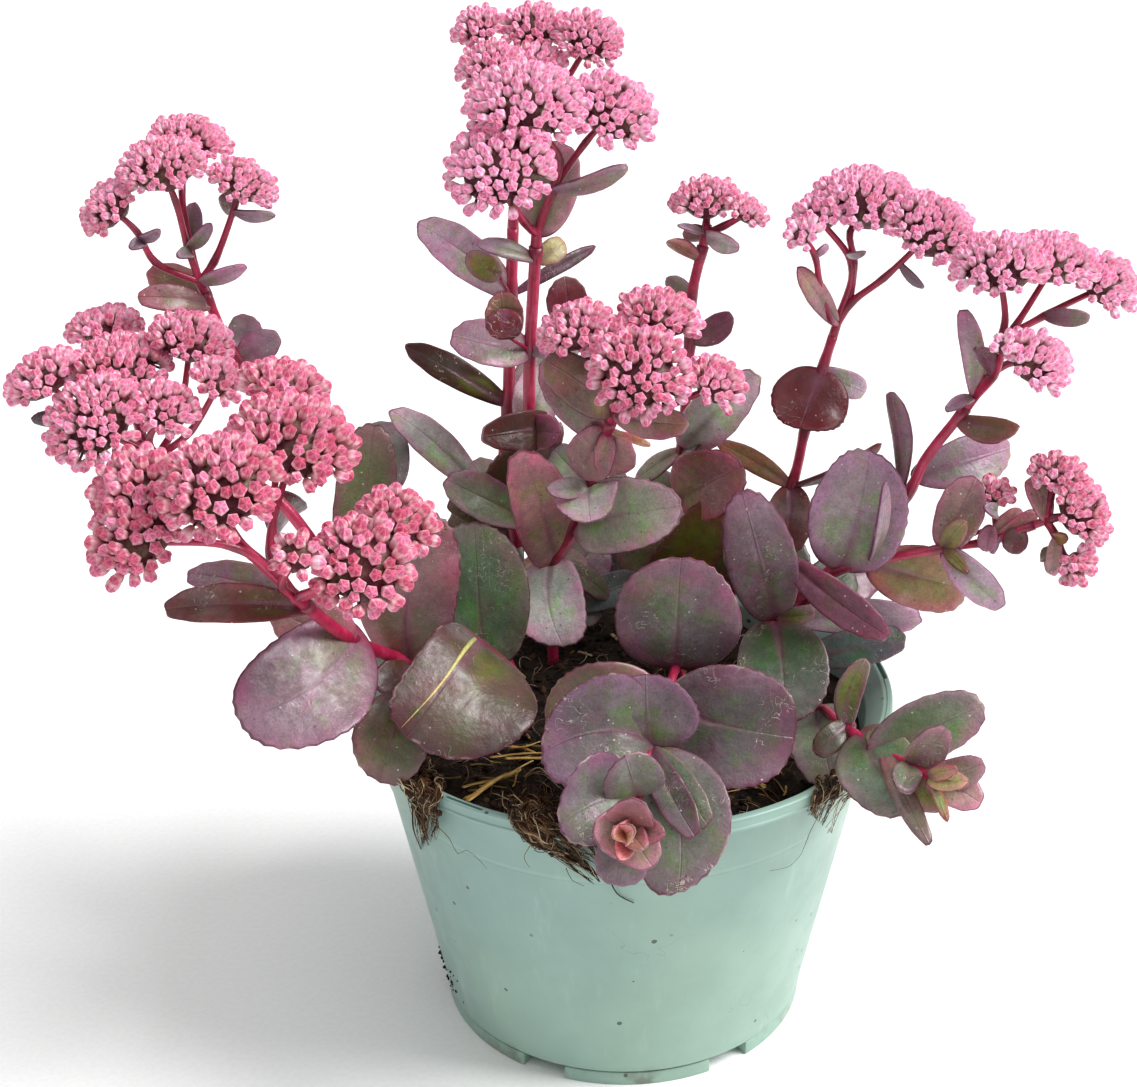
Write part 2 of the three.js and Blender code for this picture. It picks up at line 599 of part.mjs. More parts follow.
// The flower heads, each at the top of its stem. A limb is a branchlet's way from there to a cluster, whose
// pixel is the middle of its dome, and lean is where the dome's top points. A small leaf grows from the
// limb's point that its step counts, 0 being the one at the stem.
const HEADS = [
  {
    name: 'head_a',
    stem: 'shoot_a',
    limbs: [
      {
        way: [seen(188, 248, 62), seen(175, 200, 61)],
        dome: { centre: seen(166, 169, 60), radius: 17, lean: at(-0.1, -0.2, 1) },
      },
      {
        way: [seen(190, 245, 64), seen(182, 190, 72)],
        dome: { centre: seen(194, 141, 84), radius: 15.5, lean: at(0.25, 0, 1) },
      },
      {
        way: [seen(155, 262, 58), seen(137, 232, 56)],
        dome: { centre: seen(110, 210, 54), radius: 12, lean: at(-0.7, -0.3, 0.8) },
      },
      {
        way: [seen(214, 262, 64), seen(235, 206, 66)],
        dome: { centre: seen(246, 187, 66), radius: 14, lean: at(0.45, -0.1, 1) },
      },
    ],
    leaves: [
      { limb: 3, step: 0, tip: seen(246, 266, 56), wide: 7, turn: 25 },
      { limb: 0, step: 1, tip: seen(211, 223, 58), wide: 6, turn: 20 },
      { limb: 1, step: 1, tip: seen(192, 202, 76), wide: 8, turn: 160 },
      { limb: 3, step: 2, tip: seen(219, 202, 74), wide: 9, turn: 160 },
    ],
  },
  {
    name: 'head_b',
    stem: 'shoot_b',
    limbs: [
      {
        way: [seen(140, 430, 30)],
        dome: { centre: seen(118, 372, 32), radius: 20.5, lean: at(-0.1, -0.1, 1) },
      },
      {
        way: [seen(140, 432, 36)],
        dome: { centre: seen(104, 328, 58), radius: 15.5, lean: at(-0.1, 0.2, 1) },
      },
      {
        way: [seen(120, 438, 24)],
        dome: { centre: seen(36, 384, 18), radius: 13.5, lean: at(-0.6, -0.1, 1) },
      },
      {
        way: [seen(150, 448, 16)],
        dome: { centre: seen(100, 428, 4), radius: 19.5, lean: at(-0.4, -0.7, 1) },
      },
      {
        way: [seen(178, 420, 32)],
        dome: { centre: seen(196, 346, 40), radius: 15.5, lean: at(0.25, 0, 1) },
      },
      {
        way: [seen(190, 432, 22)],
        dome: { centre: seen(214, 394, 20), radius: 8, lean: at(0.5, -0.3, 1) },
      },
    ],
    leaves: [
      { limb: 2, step: 1, tip: seen(30, 418, 12), wide: 8, turn: 150 },
    ],
  },
  {
    name: 'head_c',
    stem: 'shoot_c',
    limbs: [
      {
        way: [seen(262, 562, -70), seen(236, 536, -76)],
        dome: { centre: seen(216, 492, -88), radius: 22, lean: at(-0.1, -0.6, 1) },
      },
      {
        way: [seen(236, 545, -74)],
        dome: { centre: seen(134, 486, -72), radius: 16.5, lean: at(-0.5, -0.2, 1) },
      },
      {
        way: [seen(236, 548, -78)],
        dome: { centre: seen(120, 542, -86), radius: 15.5, lean: at(-0.8, -0.7, 0.8) },
      },
      {
        way: [seen(270, 556, -64)],
        dome: { centre: seen(300, 432, -58), radius: 22, lean: at(0.3, -0.2, 1) },
      },
      {
        way: [seen(276, 560, -60)],
        dome: { centre: seen(288, 386, -32), radius: 16.5, lean: at(0.2, 0.3, 1) },
      },
      {
        way: [seen(300, 596, -72)],
        dome: { centre: seen(350, 570, -84), radius: 18.5, lean: at(0.2, -0.8, 0.9) },
      },
      {
        way: [seen(282, 585, -76)],
        dome: { centre: seen(296, 556, -92), radius: 10, lean: at(-0.1, -0.9, 0.9) },
      },
      {
        way: [seen(330, 585, -66)],
        dome: { centre: seen(402, 522, -64), radius: 15.5, lean: at(0.6, -0.3, 1) },
      },
    ],
    leaves: [],
  },
  {
    name: 'head_d1',
    stem: 'shoot_d1',
    limbs: [
      {
        way: [seen(512, 150, 66), seen(508, 80, 72)],
        dome: { centre: seen(476, 36, 82), radius: 10.5, lean: at(-0.5, 0, 1) },
      },
      {
        way: [seen(514, 150, 68), seen(520, 80, 76)],
        dome: { centre: seen(530, 36, 88), radius: 13.5, lean: at(0, 0.1, 1) },
      },
      {
        way: [seen(508, 150, 66)],
        dome: { centre: seen(488, 74, 66), radius: 13, lean: at(-0.3, -0.2, 1) },
      },
      {
        way: [seen(516, 150, 68)],
        dome: { centre: seen(544, 76, 74), radius: 8.5, lean: at(0.2, -0.1, 1) },
      },
      {
        way: [seen(516, 150, 70), seen(560, 90, 74)],
        dome: { centre: seen(594, 48, 78), radius: 13, lean: at(0.5, 0.1, 1) },
      },
    ],
    leaves: [],
  },
  {
    name: 'head_d2',
    stem: 'shoot_d2',
    limbs: [
      {
        way: [seen(552, 190, 42), seen(560, 160, 42)],
        dome: { centre: seen(524, 118, 36), radius: 22.5, lean: at(0, -0.25, 1) },
      },
      {
        way: [seen(553, 192, 43), seen(586, 142, 46)],
        dome: { centre: seen(614, 116, 46), radius: 16, lean: at(0.5, -0.1, 1) },
      },
      {
        way: [seen(524, 222, 38), seen(511, 202, 32)],
        dome: { centre: seen(500, 182, 20), radius: 22, lean: at(-0.15, -0.7, 1) },
      },
    ],
    leaves: [
      { limb: 0, step: 1, tip: seen(628, 166, 36), wide: 9, turn: 40 },
      { limb: 1, step: 0, tip: seen(558, 142, 60), wide: 22 },
    ],
  },
  {
    name: 'head_e',
    stem: 'shoot_e',
    limbs: [
      {
        way: [seen(620, 400, 4)],
        dome: { centre: seen(622, 346, 0), radius: 15.5, lean: at(0, -0.1, 1) },
      },
      {
        way: [seen(604, 392, 4)],
        dome: { centre: seen(576, 340, 4), radius: 14.5, lean: at(-0.4, -0.1, 1) },
      },
      {
        way: [seen(640, 385, 6)],
        dome: { centre: seen(663, 322, 10), radius: 16.5, lean: at(0.25, 0, 1) },
      },
      {
        way: [seen(630, 402, -2)],
        dome: { centre: seen(640, 384, -16), radius: 18.5, lean: at(0.05, -0.8, 0.9) },
      },
      {
        way: [seen(650, 412, -2)],
        dome: { centre: seen(711, 386, -6), radius: 10.5, lean: at(0.6, -0.4, 1) },
      },
    ],
    leaves: [
      { limb: 1, step: 0, tip: seen(543, 360, -6), wide: 18, turn: 10 },
      { limb: 4, step: 0, tip: seen(688, 424, -16), wide: 13, turn: 10 },
    ],
  },
  {
    name: 'head_f',
    stem: 'shoot_f',
    limbs: [
      {
        way: [seen(706, 228, 59)],
        dome: { centre: seen(704, 201, 62), radius: 14.5, lean: at(-0.1, 0, 1) },
      },
      {
        way: [seen(724, 226, 55)],
        dome: { centre: seen(746, 212, 52), radius: 9, lean: at(0.5, -0.2, 1) },
      },
    ],
    leaves: [
      { limb: 0, step: 0, tip: seen(683, 236, 64), wide: 7, turn: 160 },
      { limb: 1, step: 0, tip: seen(740, 247, 46), wide: 8, turn: 30 },
    ],
  },
  {
    name: 'head_g',
    stem: 'shoot_g',
    limbs: [
      {
        way: [seen(848, 304, 52), seen(854, 262, 53), seen(850, 232, 54)],
        dome: { centre: seen(864, 206, 58), radius: 19.5, lean: at(0.1, -0.1, 1) },
      },
      {
        way: [seen(852, 266, 52)],
        dome: { centre: seen(819, 216, 52), radius: 12, lean: at(-0.4, -0.2, 1) },
      },
      {
        way: [seen(850, 304, 51), seen(884, 278, 48)],
        dome: { centre: seen(926, 236, 44), radius: 16.5, lean: at(0.4, -0.1, 1) },
      },
      {
        way: [seen(824, 300, 46), seen(815, 262, 42)],
        dome: { centre: seen(800, 240, 36), radius: 8.5, lean: at(-0.5, -0.4, 1) },
      },
    ],
    leaves: [
      { limb: 3, step: 0, tip: seen(797, 267, 38), wide: 9, turn: 15 },
    ],
  },
  {
    name: 'head_h',
    stem: 'shoot_h',
    limbs: [
      {
        way: [seen(980, 372, 10), seen(1004, 328, 12)],
        dome: { centre: seen(1000, 276, 14), radius: 17.5, lean: at(-0.15, -0.1, 1) },
      },
      {
        way: [seen(982, 372, 10), seen(1014, 328, 14)],
        dome: { centre: seen(1054, 270, 22), radius: 16.5, lean: at(0.2, 0, 1) },
      },
      {
        way: [seen(1000, 345, 12), seen(1044, 316, 18)],
        dome: { centre: seen(1104, 288, 26), radius: 12.5, lean: at(0.7, 0, 1) },
      },
      {
        way: [seen(992, 374, 4), seen(1014, 362, 2)],
        dome: { centre: seen(1042, 358, -2), radius: 14, lean: at(0.6, -0.4, 1) },
      },
      {
        way: [seen(994, 376, 2)],
        dome: { centre: seen(1004, 346, -8), radius: 6.5, lean: at(-0.1, -0.4, 1) },
      },
    ],
    leaves: [
      { limb: 0, step: 0, tip: seen(963, 308, 6), wide: 9, turn: 10 },
      { limb: 2, step: 2, tip: seen(1090, 318, 12), wide: 7, turn: 20 },
      { limb: 4, step: 1, tip: seen(978, 348, -8), wide: 8, turn: 150 },
    ],
  },
  {
    name: 'head_i',
    stem: 'shoot_i',
    limbs: [
      {
        way: [seen(1054, 518, -5)],
        dome: { centre: seen(1084, 514, -6), radius: 13.5, lean: at(0.8, -0.3, 0.6) },
      },
      {
        way: [seen(1050, 500, -2)],
        dome: { centre: seen(1055, 472, 0), radius: 11.5, lean: at(0, -0.2, 1) },
      },
      {
        way: [seen(1056, 536, -8), seen(1064, 556, -10)],
        dome: { centre: seen(1084, 566, -12), radius: 8, lean: at(0.5, -0.6, -0.2) },
      },
    ],
    leaves: [
      { limb: 1, step: 0, tip: seen(1030, 477, 4), wide: 9, turn: 20 },
      { limb: 2, step: 1, tip: seen(1052, 576, -12), wide: 6, turn: 10 },
    ],
  },
];

// A stem: its buried end stands straight in the peat, and the hole round it is wider by the gap.
function stemPoints({ root, stem }) {
  const mouth = root.clone().setZ(soilHeight(root.x, root.y));
  const heading = stem[0].clone().sub(mouth).normalize();
  const foot = mouth.clone().addScaledVector(heading, -SOIL.holeDepth);
  return [foot, mouth, ...stem];
}

function makeShoot(shoot) {
  const points = stemPoints(shoot);
  const steps = points.length;
  const solids = [tube(points, STEM.radius, STEM.sides, steps)];
  const last = shoot.stem.length - 1;
  const below = shoot.stem[last].clone().sub(shoot.stem[last - 1]).setLength(-NODE_DROP);
  for (const leaf of shoot.leaves) {
    const node = shoot.stem[leaf.node].clone();
    const base = nearestInTube(points, steps, leaf.node === last ? node.add(below) : node);
    solids.push(leafSolid(base, leaf));
  }
  return join(solids);
}

function makeHole(shoot) {
  const [foot, mouth] = stemPoints(shoot);
  const heading = mouth.clone().sub(foot).normalize();
  const bottom = foot.clone().addScaledVector(heading, -GAP);
  return tube([bottom, mouth.clone().addScaledVector(heading, 12)], STEM.radius + 1, 6, 1);
}

function makeHead({ stem, limbs, leaves }, order) {
  const end = SHOOTS.find(({ name }) => name === stem).stem;
  const [below, top] = end.slice(-2);
  const heading = top.clone().sub(below).normalize();
  const start = top.clone().addScaledVector(heading, GAP);
  const neck = start.clone().addScaledVector(heading, 6);
  const solids = [tube([start, neck], STEM.radius - 0.2, STEM.sides, 1)];
  limbs.forEach(({ way, dome }, index) => {
    const { solid, stalk } = budDome({ ...dome, seed: 100 * order + index + 1 });
    const path = [neck.clone().addScaledVector(heading, -2), ...way, stalk];
    solids.push(solid, tube(path, STEM.branch, STEM.branchSides, path.length - 1));
    for (const leaf of leaves.filter(({ limb }) => limb === index)) {
      const base = nearestInTube(path, path.length - 1, path[leaf.step]);
      solids.push(leafSolid(base, leaf));
    }
  });
  return join(solids);
}

const group = new THREE.Group();
group.add(meshOf('pot', makePot(), COLOURS.pot, 0.45));
group.add(meshOf('soil', makeSoil(SHOOTS.map(makeHole)), COLOURS.soil, 1));
for (const mat of ROOT_MATS) {
  group.add(meshOf(mat.name, join(mat.tongues.map(makeTongue)), COLOURS.root, 0.95));
}
for (const straw of STRAWS) {
  group.add(meshOf(straw.name, makeStraw(straw), COLOURS.straw, 0.8));
}
for (const shoot of SHOOTS) {
  group.add(meshOf(shoot.name, makeShoot(shoot), COLOURS.shoot, 0.55));
}
HEADS.forEach((head, order) => {
  group.add(meshOf(head.name, makeHead(head, order), COLOURS.bud, 0.6));
});

export default group;
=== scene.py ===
import bisect
import math
import random

import bmesh
import bpy
from mathutils import Matrix, Vector, noise


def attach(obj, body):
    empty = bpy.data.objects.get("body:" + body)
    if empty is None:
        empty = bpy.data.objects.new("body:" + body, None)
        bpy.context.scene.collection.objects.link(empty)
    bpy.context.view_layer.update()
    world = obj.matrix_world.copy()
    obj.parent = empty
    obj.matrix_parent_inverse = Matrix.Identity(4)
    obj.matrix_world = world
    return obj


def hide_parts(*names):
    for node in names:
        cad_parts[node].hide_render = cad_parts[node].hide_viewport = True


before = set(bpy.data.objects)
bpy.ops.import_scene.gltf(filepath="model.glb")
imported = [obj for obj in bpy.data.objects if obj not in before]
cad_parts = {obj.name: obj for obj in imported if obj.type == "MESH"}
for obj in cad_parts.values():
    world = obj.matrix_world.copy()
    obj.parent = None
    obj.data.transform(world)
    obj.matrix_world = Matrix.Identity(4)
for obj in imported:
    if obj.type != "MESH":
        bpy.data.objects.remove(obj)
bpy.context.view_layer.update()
toMetres = 0.001
fullTurn = 2 * math.pi
anyTurn = (0, 6.28)
goldenTurn = math.pi * (3 - math.sqrt(5))
# Vector noise starts from the clock unless it is given a number of its own.
noise.seed_set(7)

# Where the reference photo was taken from, in millimetres, degrees and pixels.
photo = dict(distance=725, aim=130, elevation=28.7, pan=-1.5, tilt=3.5, focal=2051, width=1137, height=1087)


def viewAxes():
    slope, pan, tilt = (math.radians(photo[name]) for name in ("elevation", "pan", "tilt"))
    level = Vector((0, math.cos(slope), -math.sin(slope)))
    right = Vector((1, 0, 0))
    top = right.cross(level)
    eye = level * -photo["distance"] + Vector((0, 0, photo["aim"]))
    ahead = level * math.cos(pan) + right * math.sin(pan)
    forward = ahead * math.cos(tilt) + top * math.sin(tilt)
    across = ahead.cross(top).normalized()
    return eye, across, forward, forward.cross(across)


eye, viewAcross, viewForward, viewDown = viewAxes()


# The point that the photo shows at this pixel, at this depth behind the pot's axis.
def seen(across, down, depth):
    ray = viewForward * photo["focal"]
    ray = ray + viewAcross * (across - photo["width"] / 2) + viewDown * (down - photo["height"] / 2)
    return eye + ray * ((depth - eye.y) / ray.y)


def at(x, y, z):
    return Vector((x, y, z))


# A row's point is a Vector, or a pixel of the photo and its depth.
def spot(place):
    return place if isinstance(place, Vector) else seen(*place)


# A point round the pot, its angle counted from the front towards the right.
def around(angle, radius, height):
    turn = math.radians(angle)
    return at(radius * math.sin(turn), -radius * math.cos(turn), height)


def smooth(low, high, value):
    part = min(1, max(0, (value - low) / (high - low)))
    return part * part * (3 - 2 * part)


def lerp(low, high, part):
    return low + (high - low) * part


def turned(angle, axis, size=4):
    return Matrix.Rotation(angle, size, axis)


def moved(place, *others):
    result = Matrix.Translation(place)
    for other in others:
        result = result @ other
    return result


# The layout rows
leafDefaults = dict(
    turn=0, cup=0.18, arch=0.07, drift=0, back=0.8, front=0, full=0.86, ridge=0.45,
    pinch=None, base=None, stalk=0, crease=None,
)


# A leaf: the stem point it grows from, its tip, width, tint and brightness gain. Tint and gain are set leaf
# by leaf, partly for the leaf's own colour and partly as painted light and shade: a gain above 1 brightens
# a leaf that lies in shade, and one below 1 darkens a leaf in full light. turn 0 shows its upper face to
# the viewer.
# back, front and base move its start, and pinch, full, cup, arch and drift shape it.
def grow(node, tip, wide, tint="mauve", light=1, **more):
    row = dict(leafDefaults, node=node, tip=spot(tip), wide=wide, tint=tint, light=light, **more)
    row["base"] = row["base"] and spot(row["base"])
    return row


def shoot(name, root, points, *leaves, thick=1):
    return dict(name=name, root=root, stem=[spot(point) for point in points], leaves=leaves, thick=thick)


# A branchlet's way to a domed cluster, with the dome's centre and radius and where its top points.
def branch(way, centre, radius, lean):
    return dict(way=[spot(point) for point in way], centre=spot(centre), radius=radius, lean=Vector(lean))


# The root mats. A mat hangs between a left and a right edge, given in pixels of the photo, as a number of
# twisted ropes, and single hairs lie on the wall.
rootMats = [
    dict(
        name="root_mat_left", thick=0.75, ropes=7,
        left=[(404, 758), (398, 768), (403, 778), (408, 790), (411, 806), (415, 826), (419, 847)],
        right=[(438, 762), (440, 774), (441, 784), (441, 797), (438, 812), (437, 826), (434, 838)],
        hairs=[
            dict(
                way=[(437, 826), (449, 838), (458, 854), (466, 850), (477, 858), (487, 869)],
                radius=0.11, tone=0.3,
            ),
            dict(way=[(404, 790), (412, 803), (413, 826), (421, 849)], radius=0.4, tone=0.04),
            dict(way=[(425, 815), (428, 824), (420, 834), (412, 838)], radius=0.2, tone=0.95),
        ],
    ),
    dict(
        name="root_mat_front", thick=1.0, ropes=9,
        left=[(500, 788), (505, 806), (514, 826), (530, 843), (552, 856), (577, 872), (594, 884)],
        right=[(545, 786), (546, 802), (556, 816), (572, 826), (588, 838), (600, 852), (610, 866)],
        hairs=[
            dict(way=[(597, 846), (606, 862), (611, 882), (620, 896), (634, 903)], radius=0.4, tone=0.05),
            dict(way=[(548, 846), (572, 858), (590, 866), (600, 882)], radius=0.4, tone=0.3),
            dict(way=[(560, 842), (578, 852), (600, 856), (612, 862)], radius=0.3, tone=0.5),
            dict(way=[(530, 846), (524, 858), (530, 868)], radius=0.14, tone=0.6),
            dict(way=[(566, 868), (572, 880), (584, 886)], radius=0.14, tone=0.4),
        ],
    ),
    dict(
        name="root_mat_right", thick=0.55, ropes=6,
        left=[(816, 772), (816, 784), (814, 794), (811, 804), (809, 813)],
        right=[(858, 770), (860, 782), (854, 792), (843, 802), (829, 831)],
        hairs=[
            dict(
                way=[(824, 806), (811, 830), (805, 845), (799, 857), (790, 866), (780, 869), (770, 871)],
                radius=0.11, tone=0.2,
            ),
            dict(way=[(838, 792), (826, 802), (815, 810), (808, 815)], radius=0.2, tone=0.2),
        ],
    ),
]

# The straw chips on the peat, each at an angle and a radius round the pot.
straws = [
    dict(name="straw_1", angle=-38, radius=68, length=30, wide=4.4, turn=32, lift=3.6),
    dict(name="straw_2", angle=-46, radius=50, length=22, wide=4, turn=8, lift=3.2),
    dict(name="straw_3", angle=40, radius=66, length=16, wide=3.6, turn=-30, lift=3.2),
]

# The leafy stems: where a stem leaves the peat, its points from there on, and its leaves.
shoots = [
    shoot(
        "shoot_a", (-42, 36), [at(-60, 44, 142), at(-84, 52, 176), (240, 362, 60), (205, 293, 62)],
        grow(1, at(-92, 84, 190), 21, "silver", 0.7), grow(2, (250, 316, 80), 13, "dusk", 1.3),
        grow(2, (279, 336, 62), 13, "mallow", turn=-15),
        grow(3, (146, 273, 88), 15, "blush", 0.7, turn=170),
        grow(3, (137, 297, 48), 11, "rose", 0.6, turn=20),
        thick=0.85,
    ),
    shoot(
        "shoot_b", (-49, 16), [at(-72, 15, 140), (352, 590, 17), at(-124, 22, 188), (168, 462, 24)],
        grow(1, (374, 424, 34), 24, "olive", 1.1, turn=10), grow(2, at(-122, 48, 166), 18, "maroon"),
        grow(3, (102, 482, 2), 10, "green", turn=40),
    ),
    shoot(
        "shoot_c", (-47, -12), [at(-57, -13, 131), (412, 664, -10), (352, 640, -38), (304, 604, -62)],
        grow(1, (376, 690, -30), 14, "bronze", 0.8),
        grow(1, (424, 510, -10), 36, "rose", 0.65, turn=-4, cup=0.06, drift=-0.05, back=4),
        grow(2, (237, 722, -78), 38, "dusk", 1.5, back=5, drift=-0.06, pinch=0.05),
        grow(2, (271, 610, -40), 20, "rose", 0.8, front=3),
        grow(3, (188, 574, -52), 14, "mallow", 1.4, turn=15),
        grow(3, (165, 609, -68), 14, "bronze", 1.2, turn=10, cup=0.6),
    ),
    shoot(
        "shoot_d1", (-38, 63),
        [at(-40, 65, 150), (504, 480, 64), (508, 405, 64), (511, 296, 64), (513, 228, 64)],
        grow(0, at(-66, 88, 152), 24, "moss"),
        grow(1, (392, 411, 70), 15, "pearl", 1.5, turn=15, arch=0.1, base=(480, 491, 66)),
        grow(2, (406, 347, 60), 12, "ember"), grow(2, at(-18, 96, 226), 18, "sage"),
        grow(3, (418, 224, 58), 17, "lilac", 1.5, turn=10),
        grow(3, (467, 254, 50), 10, "lime", 1.3, pinch=0.1, stalk=1, base=(499, 276, 54)),
        grow(3, (595, 247, 84), 6, "plum", 0.6), grow(0, (470, 520, 70), 24, "green"),
        grow(0, (548, 520, 74), 24, "olive"), grow(0, (476, 580, 60), 20, "teal"),
    ),
    shoot(
        "shoot_d2", (-18, 60),
        [at(-20, 56, 138), (529, 520, 50), (529, 432, 46), (530, 351, 45), (536, 247, 44)],
        grow(1, (445, 479, 40), 18, "leafy", 1.3, turn=10), grow(1, (448, 503, 46), 12, "fern"),
        grow(1, (560, 424, 40), 10, "clay", 0.8),
        grow(2, (476, 438, 30), 15, "bronze", 0.6, back=12, front=3.4, pinch=0.1),
        grow(2, (562, 434, 34), 13, "plum", 1.4), grow(2, (548, 366, 58), 18, "pearl", 1.5),
        grow(3, (451, 335, 36), 17, "mallow", 1.4, turn=10, cup=0.3),
        grow(3, (501, 292, 30), 14, "blush", 0.6, pinch=0.15, stalk=1, base=(509, 337, 33)),
        grow(3, (565, 277, 62), 15, "maroon", 1.5, pinch=0, stalk=1, base=(567, 322, 60)),
        grow(4, (477, 245, 36), 8, "lilac", 1.2, turn=40), grow(4, (565, 242, 52), 9, "cream", 0.9),
        grow(1, (512, 448, 52), 27, "moss"), grow(1, (470, 462, 66), 16, "sage", 1.2),
        grow(0, (530, 556, 58), 18, "green"), grow(0, (600, 540, 66), 22, "mallow", 1.2),
        grow(3, (505, 340, 24), 13, "maroon", 1.2, base=(504, 311, 27), pinch=0.1),
        grow(3, (563, 351, 38), 6, "lilac"),
    ),
    shoot(
        "shoot_e", (-26, 44),
        [at(-26, 40, 134), (553, 563, 33), (573, 526, 27), (590, 487, 20), (604, 444, 12), (611, 421, 8)],
        grow(1, (564, 648, 12), 27, "pearl", 1.4, cup=0.3, drift=0.1, pinch=0.05, back=2),
        grow(1, (608, 598, 40), 10, "olive", 0.7, turn=-20),
        grow(1, (520, 451, 16), 23, "rose", 1.5, turn=12, pinch=0),
        grow(2, (681, 505, 4), 27, "sage", 1.5, pinch=0.05),
        grow(3, (547, 492, 6), 9, "pearl", 1.5, turn=20),
        grow(3, (590, 521, -2), 23, "pearl", 1.5, turn=20, pinch=0),
        grow(5, (581, 475, 16), 18, "clay", 1.3, turn=10, pinch=0.1),
        grow(5, (617, 476, 14), 15, "rose", 1.1, turn=-10), grow(3, (554, 450, 34), 14, "silver", 1.1),
        grow(3, (626, 474, 34), 12, "silver"), grow(0, (642, 578, 52), 14, "teal"),
        grow(0, (560, 548, 58), 26, "olive", 1.5), grow(0, (604, 612, 44), 12, "olive", 0.7),
        grow(5, (548, 356, 20), 19, "shell", 0.9, base=(598, 434, 14), stalk=1),
        grow(5, (651, 446, 6), 3.5, "coral", 1.1),
        thick=0.85,
    ),
    shoot(
        "shoot_f", (12, 62),
        [at(14, 58, 138), (678, 500, 52), (682, 450, 50), (690, 340, 52), (691, 300, 54), (703, 246, 57)],
        grow(0, at(26, 94, 150), 24), grow(0, (718, 503, 36), 24, "olivine", 1.5, turn=20),
        grow(1, (742, 466, 26), 27, "rose", 1.3), grow(2, (636, 482, 52), 9, "sage", 1.5, turn=30),
        grow(2, (755, 374, 26), 20, "pearl", 1.5), grow(2, (697, 449, 36), 7, "green", turn=150),
        grow(3, (733, 318, 46), 11, "plum", 1.5, turn=160),
        grow(4, (667, 278, 64), 8, "sage", 1.2, turn=160),
        grow(5, (667, 241, 50), 7, "coral", 0.8, turn=140), grow(1, (640, 478, 62), 15, "silver"),
        grow(0, (640, 520, 62), 28, "olive", 1.5), grow(0, (600, 560, 70), 22, "teal"),
        thick=0.85,
    ),
    shoot(
        "shoot_g", (36, 52),
        [at(42, 50, 140), (791, 486, 46), (806, 425, 48), (822, 370, 50), (833, 336, 51)],
        grow(0, at(64, 82, 150), 22, "green"), grow(1, (719, 443, 50), 9, "amber", 1.5),
        grow(1, (882, 443, 38), 7, "bronze", 1.5, turn=60), grow(1, (786, 554, 30), 17, "wet"),
        grow(2, at(76, 84, 204), 18, "green"), grow(3, (800, 429, 30), 28, "ruby", 0.75, turn=180, cup=0.1),
        grow(3, (866, 392, 58), 10, "lilac", 1.2), grow(0, (748, 540, 52), 26, "fern"),
        grow(0, (812, 560, 52), 26, "green"), grow(0, (690, 572, 60), 22, "green"),
        thick=0.82,
    ),
    shoot(
        "shoot_h", (54, 26), [at(66, 24, 146), (907, 495, 12), (925, 460, 11), (966, 408, 10)],
        grow(0, at(94, 48, 150), 22, "plum"),
        grow(1, (890, 391, 6), 9, "dusk", 1.5, turn=150, cup=0.4, base=(901, 492, 14)),
        grow(1, (1010, 448, 30), 19, "lilac", base=(914, 478, 14)),
        grow(3, (1018, 430, -2), 11, "blush", 0.6, turn=150), grow(0, (852, 570, 36), 20, "green"),
        grow(0, (772, 600, 40), 18, "teal"),
        thick=0.82,
    ),
    shoot(
        "shoot_i", (42, 8),
        [
            (774, 616, 5), (806, 592, 4), (840, 570, 3), (868, 563, 2),
            (944, 548, 0), (990, 541, -2), (1034, 525, -4),
        ],
        grow(0, (742, 491, -10), 26, "dusk", 1.3, back=3),
        grow(0, (786, 727, -38), 32, "green", 0.6, back=-2), grow(0, (922, 617, 14), 14, "lilac", 1.3),
        grow(0, (816, 613, 0), 7, "lime", 0.7, turn=10),
        grow(1, (888, 636, -18), 15, "plum", 1.2, turn=10, back=2, pinch=0.5, base=(786, 557, 2)),
        grow(2, (870, 452, 10), 34, "orchid", 1.4, drift=0.04),
        grow(3, (884, 481, -10), 8, "orchid", 1.4, turn=60),
        grow(3, (968, 589, 10), 24, "blush", 0.9, turn=10),
        grow(4, (976, 478, 4), 17, "clay", turn=-10, cup=0.3),
        grow(4, (1003, 606, -12), 13, "lilac", 1.5, turn=20, cup=0.3),
        grow(5, (1037, 511, 6), 7, "rose", 1.5, turn=20),
        grow(6, (1012, 554, -6), 9, "russet", 0.7, turn=10),
        grow(0, (907, 637, 0), 15, "teal", 1.3, turn=10, stalk=1, base=(796, 662, 0)),
        grow(5, (1024, 512, 8), 9, "rose", 1.5),
        grow(4, (986, 552, -6), 7, "plum", 1.5, stalk=1, base=(990, 527, -4)),
        grow(4, (966, 520, -8), 8, "cream", 0.6), grow(4, (968, 573, -16), 5, "olivine"),
        thick=0.66,
    ),
    shoot(
        "shoot_j", (22, 2),
        [(676, 668, -36), (664, 708, -54), (650, 748, -73), (638, 796, -94), (626, 842, -114)],
        grow(0, (681, 558, -34), 42, "slate", 1.3, cup=0.1),
        grow(1, (797, 738, -62), 40, "slate", 0.7, cup=0.12),
        grow(1, (546, 722, -54), 34, "olive", 1.2, turn=5),
        grow(2, (646, 676, -70), 33, "orchid", 0.7, arch=0.05),
        grow(2, (541, 752, -86), 37, "orchid", 0.6, turn=-5, cup=0.3, drift=0.15, back=4, pinch=0.05),
        grow(2, (696, 838, -106), 12, "slate", 0.8, cup=0.3),
        grow(3, (625, 755, -104), 20, "silver", 0.9, pinch=0.1),
        grow(3, (561, 824, -112), 28, "bloom", 0.75, cup=0.3, drift=0.1, pinch=0),
        grow(2, (678, 893, -108), 34, "silver", 0.7, drift=-0.08),
        grow(4, (594, 832, -122), 16, "shell", 1.25), grow(4, (640, 801, -124), 16, "rose", 0.9),
        grow(4, (652, 866, -124), 15, "shell", 1.15), grow(4, (617, 886, -116), 17, "mauve", 1.2),
        grow(4, (664, 834, -126), 11, "rose", cup=0.5), grow(4, (612, 834, -130), 8, "coral", cup=0.6),
        grow(4, (634, 828, -132), 8, "coral", cup=0.6), grow(4, (645, 850, -130), 9, "rose", cup=0.5),
